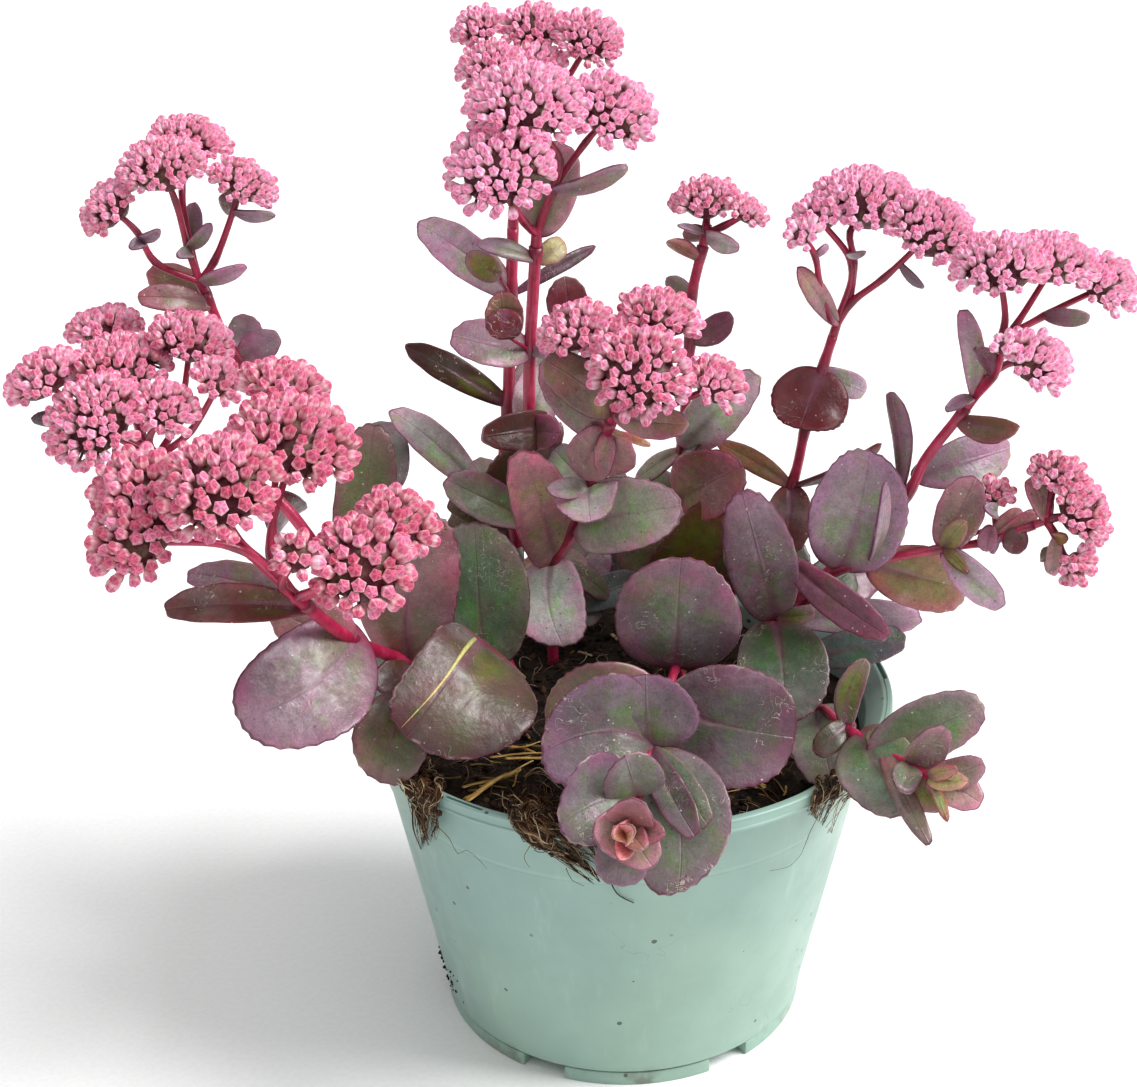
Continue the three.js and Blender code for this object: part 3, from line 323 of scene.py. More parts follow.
        grow(4, (620, 862, -130), 8, "coral", cup=0.6),
        grow(2, (709, 826, -100), 13, "green", 1.5, crease=[(0, 0.2), (0, 0.9)], ridge=0.35),
        thick=0.62,
    ),
    shoot(
        "shoot_k", (58, -8),
        [(816, 708, -18), (846, 728, -52), (881, 748, -68), (911, 766, -80), (940, 782, -92)],
        grow(0, (833, 783, -62), 24, "sage", 0.9, turn=10),
        grow(1, (865, 659, -44), 9.5, "lime", 0.6, cup=0.3, drift=-0.1, pinch=0.2),
        grow(1, (815, 755, -62), 10, "moss", 0.8, back=4),
        grow(2, (982, 704, -64), 21, "leafy", 0.8, turn=5, back=5),
        grow(2, (908, 812, -90), 26, "green", 1.4, drift=0.03, base=(860, 732, -58)),
        grow(2, (930, 845, -104), 8, "brown", 1.4), grow(3, (946, 729, -84), 12, "shell", 0.9, turn=10),
        grow(3, (902, 793, -96), 10, "leafy", 0.9), grow(3, (938, 812, -94), 12, "lime", 1.3),
        grow(4, (985, 762, -96), 11, "shell", turn=20), grow(4, (981, 804, -98), 13, "clay", 1.3, turn=-10),
        grow(2, (871, 728, -64), 7, "fern"), grow(4, (968, 782, -104), 8, "cream", 1.5, cup=0.5),
        grow(4, (948, 822, -106), 4, "sand", 1.3), grow(4, (958, 768, -104), 5, "blush", 1.3),
        thick=0.62,
    ),
    shoot(
        "shoot_l", (-50, 1), [at(-51, -3, 128), (492, 664, -4)],
        grow(0, (380, 783, -66), 27, "olive", 0.95, arch=0.2, drift=0.05, pinch=0.2, base=(408, 694, -44)),
        grow(
            1, (402, 743, -66), 44, "brown", 0.6, arch=0.16, cup=0.1, drift=-0.18, pinch=0, front=3,
            crease=[(1.7, 0.12), (2.8, 0.99)], ridge=0.9, base=(478, 645, -22), full=0.74,
        ),
        grow(1, (474, 522, 8), 36, "green", 1.5, pinch=0.1),
    ),
]

# The flower heads: the size and tone of their buds, their clusters, their leaves and their bracts. A head's
# bud tone is partly the buds' own colour and partly painted light: a low tone gives pale, bright buds for
# heads that catch the light, and a high tone gives dull, darker ones. A leaf grows from a step of a limb,
# and a bract is a pixel with its depth, a width and a tint.
heads = [
    dict(
        name="head_a", stem="shoot_a", budSize=3.3, budHueAndLight=0.35,
        limbs=[
            branch([(188, 248, 62), (175, 200, 61)], (163, 169, 60), 17, (-0.1, -0.2, 1)),
            branch([(190, 245, 64), (182, 190, 72)], (191, 142, 84), 15.5, (0.25, 0, 1)),
            branch([(155, 262, 58), (137, 232, 56)], (111, 208, 54), 13.2, (-0.7, -0.3, 0.8)),
            branch([(214, 262, 64), (235, 206, 66)], (242, 185, 66), 14, (0.45, -0.1, 1)),
        ],
        leaves=[
            grow((3, 0), (246, 266, 56), 7, "lilac", 1.5, turn=25),
            grow((0, 1), (211, 223, 58), 6, "bloom", 1.4, turn=20),
            grow((1, 1), (192, 202, 76), 8, "orchid", 1.5, turn=160),
            grow((3, 2), (219, 202, 74), 9, "russet", turn=160),
        ],
        bracts=[
            (177, 256, 54, 5, "lilac"), (130, 249, 50, 5, "lilac"), (160, 230, 52, 5, "lilac"),
            (276, 215, 58, 5, "lilac"),
        ],
    ),
    dict(
        name="head_b", stem="shoot_b", budSize=4.0, budHueAndLight=0.45,
        limbs=[
            branch([(140, 430, 30)], (118, 372, 32), 20.5, (-0.1, -0.1, 1)),
            branch([(140, 432, 36)], (106, 331, 58), 15.5, (-0.1, 0.2, 1)),
            branch([(120, 438, 24)], (43, 379, 18), 15.5, (-0.6, -0.1, 1)),
            branch([(150, 448, 16)], (96, 422, 4), 20, (-0.4, -0.7, 1)),
            branch([(178, 420, 32)], (191, 342, 40), 17, (0.25, 0, 1)),
            branch([(190, 432, 22)], (220, 382, 20), 12, (0.5, -0.3, 1)),
            branch([(150, 436, 10)], (166, 410, 8), 13.5, (0.4, -0.5, 1)),
        ],
        leaves=[
            grow((2, 1), (30, 418, 12), 8, "teal", 0.9, turn=150),
        ],
        bracts=[],
    ),
    dict(
        name="head_c", stem="shoot_c", budSize=4.5, budHueAndLight=0.8,
        limbs=[
            branch([(262, 562, -70), (236, 536, -76)], (220, 489, -88), 20.5, (-0.1, -0.6, 1)),
            branch([(236, 545, -74)], (134, 486, -72), 16.5, (-0.5, -0.2, 1)),
            branch([(236, 548, -78)], (136, 538, -86), 18, (-0.5, -0.7, 0.9)),
            branch([(270, 556, -64)], (294, 443, -58), 22, (0.3, -0.2, 1)),
            branch([(276, 560, -60)], (283, 389, -32), 16.5, (0.2, 0.3, 1)),
            branch([(300, 596, -72)], (362, 567, -84), 18.5, (0.2, -0.8, 0.9)),
            branch([(282, 585, -76)], (296, 556, -92), 10, (-0.1, -0.9, 0.9)),
            branch([(330, 585, -66)], (398, 522, -64), 15, (0.6, -0.3, 1)),
        ],
        leaves=[], bracts=[],
    ),
    dict(
        name="head_d1", stem="shoot_d1", budSize=3.3, budHueAndLight=0.25,
        limbs=[
            branch([(512, 150, 66), (508, 80, 72)], (479, 28, 82), 10.8, (-0.4, -0.5, 1)),
            branch([(514, 150, 68), (520, 80, 76)], (534, 30, 88), 13.5, (0, -0.4, 1)),
            branch([(508, 150, 66)], (488, 68, 66), 13, (-0.3, -0.5, 1)),
            branch([(516, 150, 68)], (540, 62, 74), 11, (0.2, -0.1, 1)),
            branch([(516, 150, 70), (560, 90, 74)], (590, 40, 78), 13.5, (0.35, -0.6, 1)),
        ],
        leaves=[], bracts=[],
    ),
    dict(
        name="head_d2", stem="shoot_d2", budSize=3.9, budHueAndLight=0.05,
        limbs=[
            branch([(552, 190, 42), (560, 160, 42)], (525, 108, 36), 21.5, (0, -0.4, 1)),
            branch([(553, 192, 43), (586, 142, 46)], (611, 112, 46), 17.5, (0.5, -0.6, 1)),
            branch([(524, 222, 38), (511, 202, 32)], (501, 170, 20), 20, (-0.15, -0.7, 1)),
        ],
        leaves=[
            grow((0, 1), (628, 166, 36), 9, "lilac", 1.1, turn=40),
            grow((1, 0), (558, 142, 60), 22, "shell", 1.4),
        ],
        bracts=[],
    ),
    dict(
        name="head_e", stem="shoot_e", budSize=4.0, budHueAndLight=0.5,
        limbs=[
            branch([(620, 400, 4)], (622, 346, 0), 15.5, (0, -0.1, 1)),
            branch([(604, 392, 4)], (576, 331, 4), 15, (-0.4, -0.1, 1)),
            branch([(640, 385, 6)], (659, 317, 10), 16, (0.25, 0, 1)),
            branch([(630, 402, -2)], (640, 374, -16), 18.5, (0.05, -0.8, 0.9)),
            branch([(650, 412, -2)], (715, 384, -6), 12.5, (0.6, -0.4, 1)),
        ],
        leaves=[
            grow((1, 0), (543, 360, -6), 18, "brown", 1.5, turn=10),
            grow((4, 0), (688, 424, -16), 13, "rose", 0.9, turn=10),
        ],
        bracts=[],
    ),
    dict(
        name="head_f", stem="shoot_f", budSize=3.2, budHueAndLight=0.4,
        limbs=[
            branch([(706, 228, 59)], (707, 202, 62), 14, (-0.1, 0, 1)),
            branch([(724, 226, 55)], (746, 212, 52), 9, (0.5, -0.2, 1)),
        ],
        leaves=[
            grow((0, 0), (683, 236, 64), 7, "rose", turn=160),
            grow((1, 0), (740, 247, 46), 8, "pearl", 1.5, turn=30),
        ],
        bracts=[(677, 225, 50, 3, "lilac")],
    ),
    dict(
        name="head_g", stem="shoot_g", budSize=3.5, budHueAndLight=0.0,
        limbs=[
            branch([(848, 304, 52), (854, 262, 53), (850, 232, 54)], (866, 204, 58), 20, (0.1, -0.1, 1)),
            branch([(852, 266, 52)], (819, 216, 52), 12, (-0.4, -0.2, 1)),
            branch([(850, 304, 51), (884, 278, 48)], (931, 231, 44), 18, (0.4, -0.4, 1)),
            branch([(830, 318, 46), (820, 286, 42), (815, 256, 38)], (803, 235, 36), 8.5, (-0.5, -0.4, 1)),
        ],
        leaves=[
            grow((3, 0), (797, 267, 38), 9, "rose", turn=15),
        ],
        bracts=[(828, 244, 40, 3, "lilac"), (866, 252, 40, 3, "lilac"), (924, 288, 44, 4, "lilac")],
    ),
    dict(
        name="head_h", stem="shoot_h", budSize=3.6, budHueAndLight=0.0,
        limbs=[
            branch([(980, 372, 10), (1004, 328, 12)], (1000, 268, 14), 18, (-0.15, -0.1, 1)),
            branch([(982, 372, 10), (1014, 328, 14)], (1053, 263, 22), 17, (0.2, 0, 1)),
            branch([(1000, 345, 12), (1044, 316, 18)], (1105, 284, 26), 14, (0.6, -0.5, 1)),
            branch([(992, 374, 4), (1014, 362, 2)], (1035, 362, -2), 14.5, (0.6, -0.4, 1)),
            branch([(994, 376, 2)], (1004, 346, -8), 6.5, (-0.1, -0.4, 1)),
        ],
        leaves=[
            grow((0, 0), (963, 308, 6), 9, "mallow", 1.4, turn=10),
            grow((2, 2), (1090, 318, 12), 7, "mallow", 0.8, turn=20),
            grow((4, 1), (978, 348, -8), 8, "plum", 0.7, turn=150),
        ],
        bracts=[(945, 411, 2, 5, "lilac")],
    ),
    dict(
        name="head_i", stem="shoot_i", budSize=3.6, budHueAndLight=0.5,
        limbs=[
            branch([(1054, 518, -5)], (1079, 512, -6), 15, (0.8, -0.3, 0.6)),
            branch([(1050, 500, -2)], (1057, 475, 0), 11.5, (0, -0.2, 1)),
            branch([(1056, 536, -8), (1064, 556, -10)], (1076, 565, -12), 10, (0.5, -0.6, -0.2)),
            branch([(1030, 526, -3), (1000, 532, 0)], (994, 494, 6), 8.5, (0.1, -0.2, 1)),
        ],
        leaves=[
            grow((1, 0), (1030, 477, 4), 9, "clay", 1.5, turn=20),
            grow((2, 1), (1052, 576, -12), 6, "clay", 1.5, turn=10),
        ],
        bracts=[
            (984, 508, -8, 6, "lilac"), (992, 554, -6, 4, "lilac"), (1068, 537, -12, 5, "amber"),
            (1046, 572, -10, 6, "sage"), (1040, 560, -6, 5, "olive"),
        ],
    ),
]


# Node helpers: each one adds a node to the tree in hand and gives back its output
canvas = {}


def addNode(kind, values=(), out=0, **settings):
    item = canvas["tree"].nodes.new("ShaderNode" + kind)
    for name, value in settings.items():
        setattr(item, name, value)
    for place, value in dict(values).items():
        if isinstance(value, bpy.types.NodeSocket):
            canvas["tree"].links.new(value, item.inputs[place])
        else:
            item.inputs[place].default_value = value
    return item.outputs[out]


def maths(operation, first, second=0.0, clamp=False):
    return addNode("Math", {0: first, 1: second}, operation=operation, use_clamp=clamp)


def times(first, second):
    return maths("MULTIPLY", first, second)


def plus(first, *others):
    for other in others:
        first = maths("ADD", first, other)
    return first


def minus(first, second, clamp=False):
    return maths("SUBTRACT", first, second, clamp)


def noiseAt(place, scale, detail=3.0, rough=0.55, bend=0.0):
    values = {"Vector": place, "Scale": scale, "Detail": detail, "Roughness": rough, "Distortion": bend}
    return addNode("TexNoise", values)


def cells(place, scale):
    return addNode("TexVoronoi", {"Vector": place, "Scale": scale})


def remap(value, low, high, first=0.0, last=1.0):
    values = {0: value, 1: low, 2: high, 3: first, 4: last}
    return addNode("MapRange", values, interpolation_type="SMOOTHSTEP")


def blend(factor, first, second, mode="MIX"):
    return addNode("Mix", {0: factor, 6: first, 7: second}, out=2, data_type="RGBA", blend_type=mode)


# A colour made darker and lighter by a texture.
def shaded(colour, texture, low, high, start=0.25, end=0.75):
    return blend(1.0, colour, remap(texture, start, end, low, high), "MULTIPLY")


def spread(place, factors):
    return addNode("VectorMath", {0: place, 1: factors}, operation="MULTIPLY")


def attribute(name, out):
    return addNode("Attribute", out=out, attribute_name=name)


def parts(vector):
    return addNode("SeparateXYZ", {0: vector}).node.outputs


def rgb(red, green, blue):
    return tuple((part / 255) ** 2.2 for part in (red, green, blue)) + (1.0,)


# Starts a material, sets the shader's plain values and gives back the place on the object.
def newMaterial(name, **values):
    material = bpy.data.materials.new(name)
    material.use_nodes = True
    canvas.update(tree=material.node_tree, material=material)
    for label, value in values.items():
        material.node_tree.nodes["Principled BSDF"].inputs[label.replace("_", " ")].default_value = value
    return addNode("TexCoord", out="Object")


def wire(colour, roughness, height=None, strength=0.5, distance=0.0004, coat=None):
    tree, links = canvas["tree"], {"Base Color": colour, "Roughness": roughness}
    if coat:
        links["Coat Weight"] = coat
    if height:
        links["Normal"] = addNode("Bump", {"Height": height, "Strength": strength, "Distance": distance})
    for label, output in links.items():
        tree.links.new(output, tree.nodes["Principled BSDF"].inputs[label])
    return canvas["material"]


# Materials
# A leaf's skin: a tinted middle, a purple margin, a crimson midrib, mottling, scuffs and specks, and a thin
# margin line that is dark red in places and a pale painted highlight in others.
def leafSkin():
    tree = canvas["tree"] = bpy.data.node_groups.new("leafSkin", "ShaderNodeTree")
    sockets = dict(
        INPUT=dict(Place="Vector", Leaf="Vector", Tint="Color", Rim="Color", Top="Float"),
        OUTPUT=dict(Colour="Color", Roughness="Float", Height="Float"),
    )
    for side, kinds in sockets.items():
        for label, kind in kinds.items():
            tree.interface.new_socket(label, in_out=side, socket_type="NodeSocket" + kind)
    place, leaf, tint, rim, top = tree.nodes.new("NodeGroupInput").outputs[:5]
    across, reach, edge = parts(leaf)
    width = maths("ABSOLUTE", across)

    patches = noiseAt(place, 95, 3, 0.6)
    mottle = noiseAt(place, 320, 4, 0.65)
    grain = noiseAt(place, 1500, 2, 0.6)
    wander = maths("MULTIPLY_ADD", patches, 0.7)
    wander.node.inputs[2].default_value = -0.35
    colour = blend(remap(plus(edge, wander), 0.52, 0.98), tint, rim)

    flush = remap(patches, 0.51, 0.64, 0, 0.9)
    colour = blend(flush, colour, (0.74, 1.15, 0.62, 1.0), "MULTIPLY")
    blush = remap(noiseAt(place, 62, 2), 0.52, 0.68, 0, 0.7)
    colour = blend(blush, colour, (1.32, 0.79, 1.1, 1.0), "MULTIPLY")
    haze = remap(noiseAt(place, 34, 4, 0.6), 0.48, 0.68, 0, 0.2)
    haze = times(haze, remap(parts(tint)[1], 0.0, 0.02))
    colour = blend(haze, colour, rgb(170, 160, 168))
    along = minus(times(reach, 42.0), times(width, 1.05))
    veins = maths("SINE", plus(along, times(mottle, 9.0)))
    veins = times(remap(veins, 0.5, 1.0), remap(edge, 0.8, 0.3, 0, 0.3))
    colour = blend(veins, colour, (1.1, 0.62, 0.8, 1.0), "MULTIPLY")
    clouds = noiseAt(place, 48, 3, 0.5)
    for texture, low, high in ((mottle, 0.84, 1.16), (clouds, 0.76, 1.24), (grain, 0.84, 1.16)):
        colour = shaded(colour, texture, low, high)

    ribWidth = remap(reach, 0.0, 0.9, 1.7, 0.35)
    rib = minus(1.0, maths("DIVIDE", width, ribWidth), clamp=True)
    ribFade = remap(reach, 0.15, 0.85, 0.6, 0.05)
    softWidth = plus(times(ribWidth, 1.5), times(mottle, 1.2))
    soft = minus(1.0, maths("DIVIDE", width, softWidth), clamp=True)
    colour = blend(times(soft, ribFade), colour, rgb(124, 66, 98))
    base = remap(plus(reach, times(patches, 0.1)), 0.17, 0.05, 0, 0.75)
    colour = blend(base, colour, rgb(132, 40, 66))

    # The thin margin line: dark red where it is the leaf's own colour, pale where it is a painted
    # highlight.
    marginLineAndHighlight = blend(remap(patches, 0.5, 0.62), rgb(92, 34, 52), rgb(172, 128, 142))
    colour = blend(times(remap(edge, 0.96, 0.985), 0.7), colour, marginLineAndHighlight)

    ridge = maths("ABSOLUTE", minus(noiseAt(place, 180, 2, 0.5, 1.4), 0.5))
    scuff = times(remap(ridge, 0.009, 0.002), remap(noiseAt(place, 58, 1), 0.56, 0.62))
    colour = blend(times(scuff, 0.6), colour, rgb(214, 206, 190))

    dots = times(remap(cells(place, 330), 0.13, 0.07), remap(noiseAt(place, 150, 1), 0.55, 0.6))
    colour = blend(times(dots, 0.7), colour, rgb(226, 214, 214))
    stains = remap(cells(spread(place, (1.0, 1.1, 0.9)), 210), 0.12, 0.05)
    colour = blend(times(stains, 0.5), colour, rgb(70, 44, 50))

    under = blend(0.2, colour, rgb(98, 52, 66))
    colour = blend(minus(1.0, top, clamp=True), colour, under)

    gloss = minus(remap(mottle, 0.3, 0.7, 0.5, 0.28), times(dots, 0.2))
    height = plus(times(rib, -0.5), times(mottle, 0.7), times(patches, 2.2))
    height = plus(height, times(grain, 0.22), times(scuff, 0.3))
    result = tree.nodes.new("NodeGroupOutput")
    for output, socket in zip((colour, gloss, height), result.inputs):
        tree.links.new(output, socket)
    return tree


def makeLeafMaterial():
    skin = leafSkin()
    place = newMaterial("leafSurface", Specular_IOR_Level=0.5, IOR=1.42, Coat_Roughness=0.22)
    given = dict(
        Place=place, Leaf=attribute("leafPlace", "Vector"), Tint=attribute("leafTint", "Color"),
        Rim=attribute("leafRim", "Color"), Top=attribute("leafTint", "Alpha"),
    )
    sheen = remap(noiseAt(place, 85, 2), 0.4, 0.65, 0.0, 0.4)
    return wire(*addNode("Group", given, node_tree=skin).node.outputs, 0.6, 0.0006, sheen)


# A stem: glossy crimson, darker at its joints, with fine lines along it.
def makeStemMaterial():
    place = newMaterial("stemSurface", Specular_IOR_Level=0.5, Coat_Roughness=0.25)
    patches = noiseAt(place, 130, 3)
    lines = noiseAt(spread(place, (1, 1, 0.12)), 1400, 2)
    colour = blend(remap(patches, 0.4, 0.65), rgb(168, 24, 66), rgb(196, 52, 92))
    colour = blend(times(attribute("stemPlace", "Fac"), 0.75), colour, rgb(92, 26, 46))
    colour = blend(remap(lines, 0.5, 0.75, 0, 0.18), colour, rgb(206, 104, 128))
    colour = blend(remap(cells(place, 520), 0.1, 0.04, 0, 0.4), colour, rgb(222, 170, 172))
    gloss, coat = remap(patches, 0.3, 0.7, 0.42, 0.28), remap(patches, 0.35, 0.7, 0.35, 0.1)
    return wire(colour, gloss, plus(lines, times(patches, 0.5)), 0.35, 0.0003, coat)


# The branchlets and flower stalks in a head: dull maroon that turns olive and grey in patches.
def makeTwigMaterial():
    place = newMaterial("twigSurface", Specular_IOR_Level=0.35)
    patches = noiseAt(place, 170, 3)
    grain = noiseAt(place, 1300, 2)
    colour = blend(remap(patches, 0.42, 0.66), rgb(92, 36, 52), rgb(112, 88, 74))
    colour = shaded(colour, grain, 0.7, 1.3)
    return wire(colour, remap(grain, 0.3, 0.7, 0.6, 0.45), grain, 0.4)


# A closed bud: pale keels that are partly painted highlight on the shoulders, rosy seams that meet in a
# star, a cream foot. Its tone runs from a pale, bright pink to a dull, darker pink, partly its own colour
# and partly painted light and shade.
def makeBudMaterial():
    flesh = dict(Subsurface_Weight=0.12, Subsurface_Scale=0.002, Subsurface_Radius=(1.0, 0.35, 0.3))
    place = newMaterial("budSurface", Specular_IOR_Level=0.4, **flesh)
    seam, rise, chance = parts(attribute("budPlace", "Vector"))
    mottle = noiseAt(place, 700, 2)
    grain = noiseAt(place, 2600, 2)
    # Pale, bright colours for a low tone and dull, darker ones for a high tone: partly the bud's own
    # colour, partly painted light and shade.
    body = blend(chance, rgb(252, 194, 218), rgb(224, 140, 160))
    rosy = blend(chance, rgb(208, 74, 130), rgb(168, 46, 84))
    top = blend(chance, rgb(248, 152, 192), rgb(200, 84, 116))
    pale = blend(chance, rgb(254, 220, 234), rgb(238, 188, 192))
    wander = plus(seam, times(minus(mottle, 0.5), 0.4))
    colour = blend(remap(wander, 0.7, 1.1, 0, 0.7), body, top)
    # Pale keels round the shoulders: partly the bud's own pale keels, partly a painted highlight where the
    # shoulders catch the light.
    shoulderPaleAndHighlight = remap(maths("ABSOLUTE", minus(rise, 0.6)), 0.26, 0.08, 0, 0.95)
    corner = times(remap(seam, 0.8, 0.1, 0.4, 1.0), shoulderPaleAndHighlight)
    colour = blend(corner, colour, pale)
    cap = remap(plus(rise, times(mottle, 0.06)), 0.74, 0.88, 0, 0.9)
    colour = blend(cap, colour, top)
    star = times(remap(rise, 0.66, 0.9), remap(seam, 0.6, 0.98, 0, 0.8))
    colour = blend(star, colour, rosy)
    foot = remap(plus(rise, times(mottle, 0.1)), 0.46, 0.1)
    colour = blend(times(foot, 0.9), colour, rgb(196, 162, 138))
    colour = shaded(colour, grain, 0.9, 1.1)
    height = minus(times(mottle, 0.5), times(seam, 0.8))
    return wire(colour, remap(mottle, 0.3, 0.7, 0.5, 0.36), height, 0.45, 0.0003)


# Moulded sage green plastic: soft tone bands, pale vertical streaks of painted sheen, scratches, dirt
# splashes, a grimy foot, and a painted shade line under the wall's step with a painted highlight line above
# it.
def makePotMaterial():
    place = newMaterial("potPlastic", Specular_IOR_Level=0.4, Coat_Roughness=0.4)
    height = parts(place)[2]
    bands = noiseAt(place, 9, 2)
    mottle = noiseAt(place, 60, 4, 0.6)
    grain = noiseAt(place, 2200, 2)
    colour = blend(remap(bands, 0.35, 0.65), rgb(137, 167, 159), rgb(147, 176, 160))
    colour = shaded(colour, mottle, 0.94, 1.05, 0.2, 0.8)
    # Pale vertical streaks: painted sheen on the plastic.
    sheenStreaks = noiseAt(spread(place, (1, 1, 0.16)), 150, 3)
    colour = blend(remap(sheenStreaks, 0.56, 0.8, 0, 0.25), colour, rgb(186, 208, 198))
    ridge = maths("ABSOLUTE", minus(noiseAt(place, 38, 2, 0.5, 1.2), 0.5))
    hair = times(remap(ridge, 0.0022, 0.0008), remap(noiseAt(place, 22, 1), 0.58, 0.63))
    colour = blend(times(hair, 0.5), colour, rgb(88, 108, 100))
    speck = maths("LESS_THAN", cells(place, 105), remap(mottle, 0.4, 0.65, 0.03, 0.14))
    speck = times(speck, remap(noiseAt(place, 30, 2), 0.46, 0.54))
    colour = blend(times(speck, 0.85), colour, rgb(44, 54, 46))
    dust = times(remap(mottle, 0.5, 0.68), remap(height, 0.012, 0.0, 0, 0.7))
    colour = blend(dust, colour, rgb(96, 92, 76))
    # Painted shade: a darker line just under the wall's step. Painted highlight: a paler line just above
    # it.
    under = times(remap(height, 0.0965, 0.0974), remap(height, 0.0986, 0.0978))
    colour = blend(times(under, 0.16), colour, rgb(92, 112, 106))
    stepHighlight = times(remap(height, 0.098, 0.0986), remap(height, 0.1, 0.099))
    colour = blend(times(stepHighlight, 0.1), colour, rgb(204, 222, 214))
    relief = plus(times(grain, 0.25), times(mottle, 0.6), times(speck, 0.8))
    gloss = remap(mottle, 0.3, 0.7, 0.42, 0.3)
    return wire(colour, gloss, relief, 0.3, 0.0003, remap(bands, 0.3, 0.7, 0.1, 0.25))


# Peat and the crumbs on it, from near black to brown, by each crumb's own tone.
def makePeatMaterial():
    place = newMaterial("peatSurface", Specular_IOR_Level=0.25)
    tone = attribute("tone", "Fac")
    clumps = noiseAt(place, 210, 5, 0.7)
    grain = noiseAt(place, 1500, 3, 0.7)
    colour = blend(remap(clumps, 0.35, 0.7), rgb(18, 13, 10), rgb(58, 42, 30))
    colour = blend(remap(tone, 0.3, 1.0, 0, 0.8), colour, rgb(104, 76, 50))
    colour = shaded(colour, grain, 0.45, 1.5, 0.3, 0.75)
    relief = plus(times(clumps, 2.0), grain)
    return wire(colour, remap(clumps, 0.3, 0.7, 0.95, 0.7), relief, 0.9, 0.0012)


# Root fibres: each strand has its own tone, from dark brown to pale cream.
def makeFibreMaterial():
    place = newMaterial("rootFibre", Specular_IOR_Level=0.3)
    tone = attribute("tone", "Fac")
    patches = noiseAt(place, 240, 3)
    grain = noiseAt(place, 2400, 2)
    colour = blend(remap(tone, 0.0, 0.6), rgb(42, 27, 18), rgb(118, 82, 50))
    colour = blend(remap(tone, 0.6, 1.0), colour, rgb(208, 186, 150))
    colour = shaded(colour, patches, 0.7, 1.2, 0.3, 0.7)
    return wire(colour, remap(grain, 0.3, 0.7, 0.85, 0.6), grain, 0.5)


# Straw: golden, with long dark and pale fibres.
def makeStrawMaterial():
    place = newMaterial("strawFibre", Specular_IOR_Level=0.35)
    along = attribute("strawPlace", "Vector")
    fibres = noiseAt(spread(along, (0.06, 1, 1)), 2.6, 4, 0.6)
    patches = noiseAt(place, 170, 3)
    colour = blend(remap(fibres, 0.38, 0.66), rgb(150, 104, 44), rgb(232, 196, 118))
    colour = blend(remap(patches, 0.5, 0.75, 0, 0.6), colour, rgb(112, 76, 36))
    colour = blend(remap(parts(along)[2], 0.1, 0.9, 0, 0.85), colour, rgb(84, 58, 34))
    return wire(colour, remap(fibres, 0.3, 0.7, 0.75, 0.5), fibres, 0.7, 0.0005)


leafMaterial = makeLeafMaterial()
stemMaterial = makeStemMaterial()
twigMaterial = makeTwigMaterial()
budMaterial = makeBudMaterial()
potMaterial = makePotMaterial()
peatMaterial = makePeatMaterial()
fibreMaterial = makeFibreMaterial()
strawMaterial = makeStrawMaterial()
print("materials made")


# Mesh helpers
scratch = bpy.data.meshes.new("scratch")
layerKinds = dict(
    leafPlace="float_vector", budPlace="float_vector", strawPlace="float_vector",
    leafTint="float_color", leafRim="float_color", stemPlace="float", tone="float",
)
plantLayers = ("leafPlace", "leafTint", "leafRim", "stemPlace", "budPlace")


def newMesh(*layers):
    bm = bmesh.new()
    for name in layers:
        getattr(bm.verts.layers, layerKinds[name]).new(name)
    return bm


def layer(bm, name):
    return getattr(bm.verts.layers, layerKinds[name])[name]


def setLayer(bm, name, value):
    key = layer(bm, name)
    for vert in bm.verts:
        vert[key] = value


def smoothFaces(bm, material=None):
    for face in bm.faces:
        face.smooth = True
        if material is not None:
            face.material_index = material


# Adds a small mesh to a large one and frees it.
def merge(bm, part, material=0):
    smoothFaces(part, material)
    bmesh.ops.recalc_face_normals(part, faces=part.faces)
    part.to_mesh(scratch)
    part.free()
    bm.from_mesh(scratch)


# Puts a small mesh in its place in a large one, in one tone.
def mergeAt(bm, part, matrix, tone, material=0):
    bmesh.ops.transform(part, matrix=matrix, verts=part.verts)
    setLayer(part, "tone", tone)
    merge(bm, part, material)


def roundEdges(bm, edges, offset, segments=3):
    bmesh.ops.bevel(
        bm, geom=edges, offset=offset, segments=segments, profile=0.5, affect="EDGES", material=-1
    )


def newObject(name, bm):
    mesh = bpy.data.meshes.new(name)
    bm.to_mesh(mesh)
    bm.free()
    made = bpy.data.objects.new(name, mesh)
    bpy.context.scene.collection.objects.link(made)
    return made


def finishPiece(name, bm, materials, replaced):
    bmesh.ops.scale(bm, vec=(toMetres,) * 3, verts=bm.verts)
    piece = newObject(name, bm)
    for material in materials:
        piece.data.materials.append(material)
    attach(piece, "root")
    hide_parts(replaced)
    print(f"{name}: {sum(len(face.vertices) - 2 for face in piece.data.polygons)} triangles")


# One point of a centripetal Catmull-Rom spline, from the four points and times round it.
def splinePoint(points, times, time):
    def between(first, second, start, end):
        return first.lerp(second, (time - start) / (end - start))

    low = [between(points[i], points[i + 1], times[i], times[i + 1]) for i in range(3)]
    high = [between(low[i], low[i + 1], times[i], times[i + 2]) for i in range(2)]
    return between(high[0], high[1], times[1], times[2])


# Points along the smooth curve through the given ones.
def curveThrough(points, spacing):
    ends = [points[0] * 2 - points[1], *points, points[-1] * 2 - points[-2]]
    curve = []
    for four in zip(ends, ends[1:], ends[2:], ends[3:]):
        times = [0.0]
        for start, end in zip(four, four[1:]):
            times.append(times[-1] + max(1e-3, (end - start).length) ** 0.5)
        steps = max(1, round((four[2] - four[1]).length / spacing))
        curve += [splinePoint(four, times, lerp(times[1], times[2], step / steps)) for step in range(steps)]
    return curve + [points[-1].copy()]


